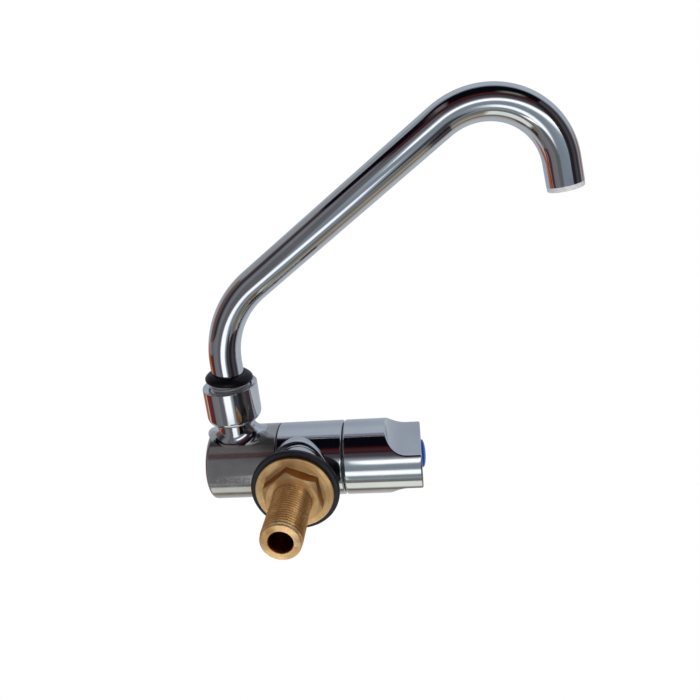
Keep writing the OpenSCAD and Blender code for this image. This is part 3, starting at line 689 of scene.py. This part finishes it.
piece("spout_ferrule_chrome", place(ferrule, ON_COLLAR), CHROME_SATIN, "spout", ["spout_ferrule"])

# %% [markdown]
# ## Rubber ring
# A fat rubber ring sits on the ferrule and wipes the tube. It is soft, so it isn't quite true: it is turned,
# pushed a little thicker to one side, and tilted by a few degrees.

# %% Rubber ring
RING_MID, RING_OUT, RING_LEAN, RING_IN = 43.3, 10.8, 0.35, TUBE_R + 0.02
RING_SKEW = Matrix.Rotation(math.radians(6), 4, "Y") @ Matrix.Rotation(math.radians(-3), 4, "X")
ring = turned([(RING_IN, -1.8, 0), (9.7, -2.0, 1.0), (RING_OUT, -0.5, 0.9), (9.5, 1.2, 0.8), (8.0, 2.0, 0.4),
               (RING_IN, 2.0, 0)], 96)
for v in ring.verts:
    radius = math.hypot(v.co.x, v.co.y)
    share = (radius - TUBE_R) / (RING_OUT - TUBE_R)
    stretch = 1 + RING_LEAN * share * (v.co.x / radius) / radius
    v.co.x *= stretch
    v.co.y *= stretch
place(ring, ON_COLLAR @ Matrix.Translation((0, 0, RING_MID)) @ RING_SKEW)
piece("top_ring_rubber", ring, RING_RUBBER, "spout", ["top_ring"])

# %% [markdown]
# ## Outlet insert
# A clear plastic bush is pushed into the tube's end, and its collar covers the cut edge. The tube's own path
# gives its place and its heading.

# %% Outlet insert
INSERT_BORE, INSERT_R, INSERT_COLLAR_R = 5.0, 5.98, 6.9
INSERT_IN, INSERT_RIM = -7.0, 2.0
AT_OUTLET = ON_COLLAR @ Matrix.Translation(outlet) @ Matrix.Rotation(outlet_heading, 4, "Y")
insert = turned([(INSERT_BORE, INSERT_IN, 0), (INSERT_R, INSERT_IN, 0.2), (INSERT_R, 0.02, 0),
                 (INSERT_COLLAR_R, 0.02, 0.15), (INSERT_COLLAR_R, INSERT_RIM, 0.5),
                 (INSERT_BORE, INSERT_RIM, 0.3)], 64)
piece("outlet_insert_clear", place(insert, AT_OUTLET), CLEAR_PLASTIC, "spout",
      ["outlet_insert"])

# %% [markdown]
# ## Base gasket
# The gasket is a moulded rubber disc with soft edges, between the pedestal and the worktop.

# %% Base gasket
GASKET_R, GASKET_BORE, GASKET_ROUND = 19.0, 8.4, 0.6
gasket = turned([(GASKET_BORE, 0, 0), (GASKET_R, 0, GASKET_ROUND), (GASKET_R, GASKET_T, GASKET_ROUND),
                 (GASKET_BORE, GASKET_T, 0)], 128)
piece("base_gasket_rubber", gasket, RUBBER, "tap_body", ["base_gasket"])

# %% [markdown]
# ## Flanged nut
# The nut is hexagon bar with a turned flange: its crown is the cone that a lathe cuts across the six corners,
# so each flat ends in an arc. Rings of vertices follow that shape. Each ring is a function that gives a
# radius and a height at an angle.

# %% Flanged nut
NUT_FACE, FLANGE_R, FLANGE_T, HEX_H = -0.05, 16.7, 1.6, 5.3
FLAT_R, CROWN_R, NUT_TURN = 11.5, 11.0, math.radians(24)
NUT_BORE, CORNER_SHARE, CROWN_SLOPE = 8.38, 1.1435, math.tan(math.radians(30))
FLANGE_LOW = NUT_FACE - FLANGE_T
HEX_LOW = FLANGE_LOW - HEX_H
STEP_R, STEP_H, EDGE, MOUTH_EDGE = 14.6, 0.12, 0.12, 8.55
NUT_SEGMENTS = 6 * 20
nut = bmesh.new()
bmesh.ops.create_circle(nut, cap_ends=False, radius=1.0, segments=NUT_SEGMENTS)
turn = nut.verts.layers.float.new("turn")
for v in nut.verts:
    v[turn] = math.atan2(v.co.y, v.co.x)


def hex_radius(angle):
    """Distance to the hexagon's wall, with its corners slightly broken."""
    part = (angle - NUT_TURN) % (math.pi / 3) - math.pi / 6
    return min(FLAT_R / math.cos(part), FLAT_R * CORNER_SHARE)


def crown(radius):
    return HEX_LOW + max(0.0, radius - CROWN_R) * CROWN_SLOPE


nut_rings = [
    lambda a: (NUT_BORE, HEX_LOW + EDGE),
    lambda a: (MOUTH_EDGE, HEX_LOW),
    lambda a: (CROWN_R, HEX_LOW),
    lambda a: (hex_radius(a) - EDGE, crown(hex_radius(a)) - 0.03),
    lambda a: (hex_radius(a), crown(hex_radius(a)) + EDGE),
    lambda a: (hex_radius(a), FLANGE_LOW - 0.35),
    lambda a: (hex_radius(a) + EDGE, FLANGE_LOW - EDGE),
    lambda a: (hex_radius(a) + 0.4, FLANGE_LOW),
    lambda a: (STEP_R, FLANGE_LOW),
    lambda a: (STEP_R + 0.15, FLANGE_LOW + STEP_H),
    lambda a: (FLANGE_R - 0.45, FLANGE_LOW + STEP_H),
    lambda a: (FLANGE_R - 0.15, FLANGE_LOW + 2 * STEP_H),
    lambda a: (FLANGE_R, FLANGE_LOW + 0.5),
    lambda a: (FLANGE_R, NUT_FACE - 0.2),
    lambda a: (FLANGE_R - 0.2, NUT_FACE),
    lambda a: (NUT_BORE, NUT_FACE),
]
rim = first_rim = nut.edges[:]
for i, shape in enumerate(nut_rings):
    verts = nut.verts[:]
    if i:
        verts, rim = grow(nut, rim)
    for v in verts:
        r, h = shape(v[turn])
        v.co = (r * math.cos(v[turn]), r * math.sin(v[turn]), h)
bmesh.ops.bridge_loops(nut, edges=first_rim + rim)
bmesh.ops.recalc_face_normals(nut, faces=nut.faces)
piece("backnut_brass", nut, BRASS, "backnut", ["backnut"], sharp=24)

# %% [markdown]
# ## Threaded tail
# The tail carries a real thread, because its ridges show. One turn of a 55 degree pipe thread is spun with a
# small lift at each step, which is how a screw is made in Blender, and copied upwards. Spinning all the turns
# at once would take much longer.

# %% Turns of the thread
PITCH, MAJOR_R, MINOR_R = 1.337, 8.331, 7.475
LEAD_R, LEAD_LEN = 8.12, 1.7
THREAD_TURNS, THREAD_STEPS = 23, 96
THREAD_LOW = TIP + LEAD_LEN - 0.1
THREAD_HIGH = THREAD_LOW + THREAD_TURNS * PITCH
root, crest = 0.14 * PITCH, 0.22 * PITCH
flank = (PITCH - root - crest) / 2
tooth = [(MINOR_R, 0), (MINOR_R, root / 2), (MAJOR_R, root / 2 + flank), (MAJOR_R, root / 2 + flank + crest),
         (MINOR_R, root / 2 + 2 * flank + crest), (MINOR_R, PITCH)]
thread = bmesh.new()
corners = [thread.verts.new((r, 0, THREAD_LOW - 1.5 * PITCH + h)) for r, h in tooth]
for a, b in zip(corners, corners[1:]):
    thread.edges.new((a, b))
bmesh.ops.bevel(thread, geom=corners[1:-1], offset=0.07, offset_type="OFFSET", affect="VERTICES", segments=3,
                profile=0.5, material=-1)
bmesh.ops.spin(thread, geom=thread.verts[:] + thread.edges[:], cent=(0, 0, 0), axis=(0, 0, 1),
               dvec=(0, 0, PITCH / THREAD_STEPS), angle=FULL_TURN, steps=THREAD_STEPS)
first_turn = thread.verts[:] + thread.edges[:] + thread.faces[:]
for lap in range(1, THREAD_TURNS + 3):
    copied = bmesh.ops.duplicate(thread, geom=first_turn)["geom"]
    lifted = [g for g in copied if isinstance(g, bmesh.types.BMVert)]
    bmesh.ops.translate(thread, vec=(0, 0, lap * PITCH), verts=lifted)
bmesh.ops.remove_doubles(thread, verts=thread.verts, dist=0.004)
print("thread:", THREAD_TURNS, "turns from", round(THREAD_LOW, 2), "to", round(THREAD_HIGH, 2), "mm")

# %% [markdown]
# Two cuts trim the thread a whole number of turns apart, so that both cut rims are alike and an inner wall
# can join them. Its first turn tapers, as a die leaves it.

# %% Thread trimmed and closed
INNER_R, LEAD_SLOPE = 6.5, 0.35
for level, way in ((THREAD_LOW, -1), (THREAD_HIGH, 1)):
    bmesh.ops.bisect_plane(thread, geom=thread.verts[:] + thread.edges[:] + thread.faces[:], dist=0.0001,
                           plane_co=(0, 0, level), plane_no=(0, 0, way), clear_outer=True)


def set_radius(v, wanted):
    share = wanted / math.hypot(v.co.x, v.co.y)
    v.co.x *= share
    v.co.y *= share


for v in thread.verts:
    set_radius(v, min(math.hypot(v.co.x, v.co.y), LEAD_R + (v.co.z - THREAD_LOW) * LEAD_SLOPE))


def open_rim(level):
    return [e for e in thread.edges if e.is_boundary and all(abs(v.co.z - level) < 0.001 for v in e.verts)]


rims = {level: open_rim(level) for level in (THREAD_LOW, THREAD_HIGH)}
for level, rim in rims.items():
    verts, rim = grow(thread, rim)
    for v in verts:
        set_radius(v, INNER_R)
    if level == THREAD_LOW:
        verts, _ = grow(thread, rim)
        bmesh.ops.translate(thread, vec=(0, 0, THREAD_HIGH - THREAD_LOW), verts=verts)
bmesh.ops.remove_doubles(thread, verts=thread.verts, dist=0.002)
bmesh.ops.recalc_face_normals(thread, faces=thread.faces)
print("open edges of the thread:", sum(e.is_boundary for e in thread.edges))

# %% [markdown]
# The plain tip with its chamfers, the bore and the smooth upper end are a turned core. Its waist stays inside
# the thread, and both shells together are the tail.

# %% Threaded tail
STEM_TOP, STEM_BORE, TIP_R, UPPER_R, WAIST_R = 9.9, 4.8, 7.75, 8.03, 6.8
LEAD_END = TIP + LEAD_LEN
core = turned([(STEM_BORE, TIP + 0.3, 0), (STEM_BORE + 0.3, TIP, 0), (TIP_R, TIP, 0.12),
               (LEAD_R, TIP + 0.5, 0.1), (LEAD_R, LEAD_END - 0.1, 0.12), (7.85, LEAD_END + 0.15, 0),
               (7.7, LEAD_END + 0.8, 0), (WAIST_R, LEAD_END + 1.0, 0), (WAIST_R, THREAD_HIGH - 0.6, 0),
               (UPPER_R, THREAD_HIGH - 0.6, 0), (UPPER_R, STEM_TOP, 0.4), (STEM_BORE, STEM_TOP, 0)], 96)
piece("inlet_stem_brass", join(core, thread), THREAD_BRASS, "tap_body", ["inlet_stem"], sharp=40)

# %% [markdown]
# ## Seam pieces
# The fold seam shows the edge of a black washer. In the knob's groove a black ring stands for painted shade,
# a dark thing where the groove is in shade. Both are thin turned rings a little smaller than the barrel, so
# the seam reads as a dark line.

# %% Washer and groove ring
WASHER_IN, WASHER_R, WASHER_X = 10.6, 16.1, -10.1
GROOVE_IN, GROOVE_R, GROOVE_X = 12.9, 15.2, 19.9
washer = turned([(WASHER_IN, WASHER_X, 0), (WASHER_R, WASHER_X, 0.08), (WASHER_R, BODY_L, 0.08),
                 (WASHER_IN, BODY_L, 0)], 96)
piece("fold_washer_black", place(washer, ON_BARREL), BLACK_PLASTIC, "tap_body",
      ["fold_washer"])
# The black ring in the knob's groove is painted shade: a dark ring where the groove is in shade.
groove_ring = turned([(GROOVE_IN, BODY_R, 0), (GROOVE_R, BODY_R, 0.1), (GROOVE_R, GROOVE_X, 0.1),
                      (GROOVE_IN, GROOVE_X, 0)], 96)
piece("groove_shade_ring_black", place(groove_ring, ON_BARREL), BLACK_PLASTIC, "tap_body",
      ["dust_ring"])

# %% [markdown]
# ## Inner pieces
# The journal, the cartridge, the seals and the clips are inside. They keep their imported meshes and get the
# finish of their material.

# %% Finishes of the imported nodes
INNER = {
    "fold_journal": INNER_BRASS, "cartridge_body": INNER_BRASS, "spindle": INNER_BRASS,
    "journal_seals": RING_RUBBER, "spigot_seal": RING_RUBBER, "seat_seal": RING_RUBBER,
    "spindle_seal": RING_RUBBER,
    "stop_screw": STEEL, "spout_clip": STEEL, "spindle_clip": STEEL, "knob_screw": STEEL,
    "fixed_disc": CERAMIC, "moving_disc": CERAMIC,
}
for name, finish in INNER.items():
    mesh = frame["nodes"][name].data
    mesh.materials.clear()
    mesh.materials.append(finish)
print("inner pieces:", len(INNER))

# %% [markdown]
# ## Studio
# The photograph looks at the tap from under its base, so the white ground is the world. The camera, mirrors
# and clear plastic see it at full white, and as a light it is dimmer, so the tap keeps its shading.

# %% World
AMBIENT = 0.75
scene = bpy.context.scene
scene.view_settings.view_transform = "Standard"
world = bpy.data.worlds.new("studio")
scene.world = world
world.use_nodes = True
sky = world.node_tree
ray = sky.nodes.new("ShaderNodeLightPath").outputs
seen = calc(sky, "MAXIMUM", calc(sky, "MAXIMUM", ray["Is Camera Ray"], ray["Is Glossy Ray"]),
            ray["Is Transmission Ray"])
sky.nodes["Background"].inputs["Color"].default_value = (1, 1, 1, 1)
sky.links.new(remap(sky, seen, AMBIENT, 1.0), sky.nodes["Background"].inputs["Strength"])
print("ambient light:", AMBIENT)

# %% [markdown]
# A pale floor lies under the tail for the other views and takes the tap's shadow. Its upper side fades into
# the white ground with distance, so no horizon shows, and its underside lets the camera through.

# %% Floor
FLOOR_SIZE, FLOOR_GAP, FADE_FROM, FADE_TO = 6, 0.4, 0.30, 1.1


def stage_plane(name, size_x, size_y, matrix, finish):
    bm = bmesh.new()
    bmesh.ops.create_grid(bm, x_segments=1, y_segments=1, size=0.5)
    bmesh.ops.scale(bm, vec=(size_x, size_y, 1), verts=bm.verts)
    bmesh.ops.transform(bm, matrix=matrix, verts=bm.verts)
    mesh = bpy.data.meshes.new(name)
    bm.to_mesh(mesh)
    bm.free()
    mesh.materials.append(finish)
    obj = bpy.data.objects.new(name, mesh)
    scene.collection.objects.link(obj)
    return obj


floor_finish, tree, shader = new_finish("pale floor")
shader.inputs["Base Color"].default_value = (0.9, 0.9, 0.9, 1)
shader.inputs["Roughness"].default_value = 0.8
glow = node(tree, "ShaderNodeEmission", Color=(1, 1, 1, 1), Strength=1.0)
clear = node(tree, "ShaderNodeBsdfTransparent")
half = node(tree, "ShaderNodeMixShader", Fac=0.55)
tree.links.new(shader.outputs["BSDF"], half.inputs[1])
tree.links.new(glow.outputs["Emission"], half.inputs[2])
distance = node(tree, "ShaderNodeVectorMath", Vector=place_coords(tree))
distance.operation = "LENGTH"
far = remap(tree, distance.outputs["Value"], 0, 1, FADE_FROM, FADE_TO)
below = tree.nodes.new("ShaderNodeNewGeometry").outputs["Backfacing"]
one_sided = node(tree, "ShaderNodeMixShader", Fac=calc(tree, "MAXIMUM", below, far))
tree.links.new(half.outputs["Shader"], one_sided.inputs[1])
tree.links.new(clear.outputs["BSDF"], one_sided.inputs[2])
tree.links.new(one_sided.outputs["Shader"], tree.nodes["Material Output"].inputs["Surface"])
floor = stage_plane("floor", FLOOR_SIZE, FLOOR_SIZE, Matrix.Translation((0, 0, (TIP - FLOOR_GAP) * MM)),
                    floor_finish)
floor.visible_glossy = False
floor.visible_shadow = False
floor.visible_diffuse = False
print("floor at", TIP - FLOOR_GAP, "mm")

# %% [markdown]
# ## The room in the chrome
# A mirror needs something to mirror. Painted panels stand round the tap as the walls and the ceiling of a
# small room, and soft-edged cards hang before them. Only reflections see them, so they neither hide the tap
# nor change the light on it.

# %% Helpers for walls and cards
def unlit(name, colour, strength=1.0):
    """A surface that glows with one painted colour and takes no light."""
    finish = bpy.data.materials.new(name)
    finish.use_nodes = True
    tree = finish.node_tree
    tree.nodes.remove(tree.nodes["Principled BSDF"])
    glow = node(tree, "ShaderNodeEmission", Strength=strength)
    glow.inputs["Color"].default_value = (*colour, 1)
    tree.links.new(glow.outputs["Emission"], tree.nodes["Material Output"].inputs["Surface"])
    return finish, tree, glow


def only_mirrored(obj):
    obj.visible_camera = obj.visible_diffuse = obj.visible_shadow = False
    obj.visible_transmission = obj.visible_volume_scatter = False
    return obj


def facing(side, centre):
    """The pose of a panel that faces the tap squarely along one axis."""
    toward = Vector(centre)
    toward["XYZ".index(side)] = 0.0
    aim = (toward - Vector(centre)).to_track_quat("Z", "Y").to_matrix().to_4x4()
    return Matrix.Translation(centre) @ aim


def painted(name, side, centre, size, axis, stops):
    """A wall whose paint changes softly along one axis, from (place, colour) stops in metres."""
    finish, tree, glow = unlit(name, (1, 1, 1))
    along_axis = node(tree, "ShaderNodeSeparateXYZ", Vector=place_coords(tree)).outputs[axis]
    low, high = stops[0][0], stops[-1][0]
    share = remap(tree, along_axis, 0, 1, low, high)
    paint = ramp(tree, share, [((at - low) / (high - low), colour) for at, colour in stops])
    tree.links.new(paint, glow.inputs["Color"])
    return only_mirrored(stage_plane(name, *size, facing(side, centre), finish))


def card(name, side, centre, size, soft, colour, strength=1.0, turn=0.0):
    """A patch of light or dark hung just before a wall. Soft is how wide its side and its end edges fade."""
    pose = facing(side, centre) @ Matrix.Rotation(math.radians(turn), 4, "Z")
    finish, tree, glow = unlit(name, colour, strength)
    local = node(tree, "ShaderNodeMapping", Vector=tree.nodes.new("ShaderNodeTexCoord").outputs["Object"],
                 Location=centre, Rotation=pose.to_euler())
    local.vector_type = "TEXTURE"
    x, y, _ = node(tree, "ShaderNodeSeparateXYZ", Vector=local.outputs["Vector"]).outputs
    fades = [remap(tree, calc(tree, "ABSOLUTE", off), 1, 0, length / 2 - edge, length / 2)
             for off, length, edge in ((x, size[0], soft[0]), (y, size[1], soft[1]))]
    for fade in fades:
        fade.node.interpolation_type = "SMOOTHSTEP"
    mix = node(tree, "ShaderNodeMixShader", Fac=calc(tree, "MULTIPLY", *fades))
    tree.links.new(node(tree, "ShaderNodeBsdfTransparent").outputs["BSDF"], mix.inputs[1])
    tree.links.new(glow.outputs["Emission"], mix.inputs[2])
    tree.links.new(mix.outputs["Shader"], tree.nodes["Material Output"].inputs["Surface"])
    return only_mirrored(stage_plane(name, *size, pose, finish))


# %% [markdown]
# The room is a plain one: pale paper behind the tap, a dark side in front with a red brown edge, a ceiling
# with a strip light and a window, and an orange panel on the left. A wall's paint changes along one axis
# only, from a few stops in metres.

# %% The room's walls
PALE = (0.50, 0.555, 0.635)
BLACK = (0.003, 0.003, 0.006)
# The paper is darker from about -0.25 to 0.1 m in Y, near the tap: a painted shadow of the tap.
painted("paper", "Z", (0, 0.2, 0.45), (4.0, 4.0), "Y",
        [(-1.8, PALE), (-0.6, PALE), (-0.25, (0.42, 0.475, 0.545)), (0.1, (0.48, 0.53, 0.60)),
         (0.4, (0.57, 0.61, 0.65)), (1.25, (0.53, 0.55, 0.57)), (1.5, (0.57, 0.43, 0.32)),
         (2.2, (0.50, 0.42, 0.34))])
painted("wall_front", "Y", (0, -1.6, -0.75), (3.4, 2.5), "Z",
        [(-2.0, (0.060, 0.045, 0.055)), (-1.7, (0.024, 0.016, 0.020)), (-1.45, (0.075, 0.022, 0.025)),
         (-1.15, (0.065, 0.013, 0.016)), (-0.95, (0.016, 0.005, 0.007)), (-0.8, BLACK), (0.12, BLACK),
         (0.22, (0.10, 0.115, 0.14)), (0.4, (0.35, 0.40, 0.46)), (0.5, PALE)])
painted("wall_back", "Y", (0, 2.0, -0.75), (3.6, 2.5), "Z",
        [(-2.0, (0.24, 0.255, 0.25)), (-1.4, (0.18, 0.175, 0.155)), (-0.95, (0.26, 0.24, 0.19)),
         (-0.6, (0.42, 0.385, 0.31)), (-0.2, (0.38, 0.345, 0.275)), (-0.02, (0.16, 0.155, 0.15)),
         (0.08, (0.14, 0.13, 0.13)), (0.22, (0.42, 0.40, 0.36)), (0.5, (0.55, 0.47, 0.39))])
painted("wall_left_front", "X", (-1.6, -0.7, -0.75), (1.8, 2.5), "Z",
        [(-2.0, (0.24, 0.245, 0.255)), (-1.2, (0.22, 0.225, 0.24)), (-0.85, (0.05, 0.05, 0.06)),
         (-0.6, (0.03, 0.03, 0.045)), (-0.3, (0.10, 0.085, 0.10)), (0.0, (0.20, 0.12, 0.10)),
         (0.25, (0.25, 0.11, 0.075)), (0.5, (0.34, 0.19, 0.13))])
painted("wall_left_back", "X", (-1.6, 1.1, -0.75), (1.8, 2.5), "Z",
        [(-2.0, (0.235, 0.235, 0.245)), (-0.8, (0.225, 0.22, 0.23)), (-0.3, (0.17, 0.16, 0.165)),
         (0.1, (0.22, 0.215, 0.22)), (0.5, (0.42, 0.44, 0.46))])
painted("orange_thing", "X", (-1.59, 0.70, -0.05), (0.62, 1.0), "Z",
        [(-0.5, (0.16, 0.14, 0.155)), (-0.38, (0.04, 0.033, 0.06)), (-0.3, (0.06, 0.03, 0.045)),
         (-0.2, (0.15, 0.03, 0.025)), (0.15, (0.22, 0.028, 0.012)), (0.35, (0.28, 0.05, 0.02)),
         (0.5, (0.38, 0.10, 0.045))])
painted("wall_right", "X", (1.6, 0.2, -0.75), (3.6, 2.5), "Z",
        [(-2.0, (0.07, 0.072, 0.078)), (-1.5, (0.02, 0.02, 0.026)), (-1.0, (0.02, 0.02, 0.027)),
         (-0.65, (0.085, 0.073, 0.072)), (-0.4, (0.09, 0.07, 0.07)), (-0.15, (0.035, 0.034, 0.045)),
         (0.05, (0.06, 0.07, 0.09)), (0.2, (0.15, 0.17, 0.21)), (0.34, (0.24, 0.26, 0.30)), (0.5, PALE)])
painted("ceiling", "Z", (0, 0.2, -2.0), (4.0, 4.0), "Y",
        [(-1.8, (0.08, 0.06, 0.075)), (-1.2, (0.08, 0.062, 0.078)), (-0.95, (0.17, 0.175, 0.19)),
         (-0.75, (0.35, 0.40, 0.43)), (-0.5, (0.42, 0.48, 0.53)), (-0.1, (0.30, 0.36, 0.41)),
         (0.2, (0.26, 0.31, 0.355)), (0.5, (0.28, 0.33, 0.38)), (1.2, (0.34, 0.39, 0.43)),
         (1.5, (0.23, 0.29, 0.34)), (2.0, (0.38, 0.42, 0.42))])

# %% [markdown]
# Cards hang before the walls where the room has a lamp, a window or a dark thing. Their edges fade, as they
# do in a mirror that isn't quite in focus. The pale ceiling card is the shine on the nut and the tail's tip.

# %% Cards before the walls
card("strip_light", "Z", (0.735, -0.54, -1.94), (2.03, 0.68), (0.10, 0.30), (0.97, 0.99, 1.0), 1.8, -10)
card("window_light", "Z", (-0.10, 0.84, -1.94), (1.30, 0.86), (0.30, 0.30), (0.95, 0.98, 1.0), 1.55)
card("grey_ceiling", "Z", (-1.30, 0.10, -1.96), (1.9, 3.6), (0.35, 0.3), (0.155, 0.157, 0.172))
card("dark_ceiling", "Z", (1.35, 1.00, -1.96), (1.5, 1.9), (0.35, 0.3), (0.055, 0.057, 0.062))
card("green_pane", "Y", (0.85, -1.57, -0.92), (0.8, 0.7), (0.30, 0.30), (0.20, 0.23, 0.20))
card("back_window", "Y", (-0.35, 1.97, -0.78), (1.75, 1.2), (0.22, 0.22), (0.95, 1.0, 0.92))
card("back_dark", "Y", (-1.50, 1.96, -0.45), (0.8, 1.0), (0.20, 0.20), (0.035, 0.04, 0.04))
card("grey_left", "Y", (-1.40, -1.58, -1.40), (0.6, 1.0), (0.20, 0.20), (0.20, 0.205, 0.225))
card("grey_middle", "Y", (-0.68, -1.58, -0.70), (0.5, 0.95), (0.15, 0.15), (0.16, 0.152, 0.156))
card("pale_left", "Y", (-1.25, -1.57, 0.24), (0.8, 0.5), (0.12, 0.12), (0.35, 0.37, 0.40))
card("pale_corner", "X", (-1.57, -1.30, 0.20), (0.7, 0.6), (0.15, 0.15), (0.36, 0.365, 0.39))
card("paper_left", "Z", (-1.15, -1.00, 0.44), (1.7, 1.7), (0.15, 0.15), (0.365, 0.38, 0.41))
card("orange_right", "Z", (0.95, -0.20, 0.44), (0.8, 0.35), (0.15, 0.10), (0.38, 0.17, 0.10))
card("orange_corner", "Z", (-0.95, 0.30, 0.43), (1.45, 0.44), (0.15, 0.10), (0.43, 0.15, 0.07))
card("pale_ceiling", "Z", (-0.54, 1.52, -1.95), (0.44, 0.84), (0.12, 0.20), (1.0, 0.98, 0.94), 1.7)

# %% [markdown]
# Soft lamps light what isn't a mirror: the rubber, the cap, the clear insert and the floor. They stay out of
# reflections, where the painted panels already show.

# %% Lamps
def lamp(name, place_at, size_x, size_y, power):
    light = bpy.data.lights.new(name, "AREA")
    light.shape = "RECTANGLE"
    light.size, light.size_y = size_x, size_y
    light.energy = power
    obj = bpy.data.objects.new(name, light)
    obj.location = place_at
    obj.rotation_mode = "QUATERNION"
    obj.rotation_quaternion = (-Vector(place_at)).to_track_quat("-Z", "Y")
    obj.visible_glossy = False
    scene.collection.objects.link(obj)
    return obj


lamp("window", (0.20, 0.50, -1.0), 0.55, 0.35, 5.0)
lamp("strip", (0.15, -0.14, -1.05), 0.6, 0.2, 2.5)
lamp("top soft", (0.35, -0.45, 0.9), 0.55, 0.55, 5.0)
lamp("top rim", (-0.50, 0.40, 0.9), 0.35, 0.35, 2.5)
print("lamps:", len(bpy.data.lights))

# %% [markdown]
# ## Camera
# Position, angles and lens were fitted to the edges of the barrel, the tube, the gasket and the thread. The
# optical axis is 50 pixels above the middle of the 700 pixel frame, and the lens shift gives that.

# %% Camera
FRAME_PX, FOCAL_PX, AXIS_ABOVE_PX = 700, 575.288, 50
SENSOR = 36.0
camera = bpy.data.objects.new("camera", bpy.data.cameras.new("camera"))
scene.collection.objects.link(camera)
camera.location = Vector((55.455, -146.642, -203.66)) * MM
camera.rotation_euler = [math.radians(a) for a in (162.1068, -4.8119, 5.7494)]
camera.data.sensor_width = SENSOR
camera.data.lens = FOCAL_PX / FRAME_PX * SENSOR
camera.data.shift_y = -AXIS_ABOVE_PX / FRAME_PX
camera.data.clip_start = 0.005
scene.camera = camera
print("lens:", round(camera.data.lens, 2), "mm")
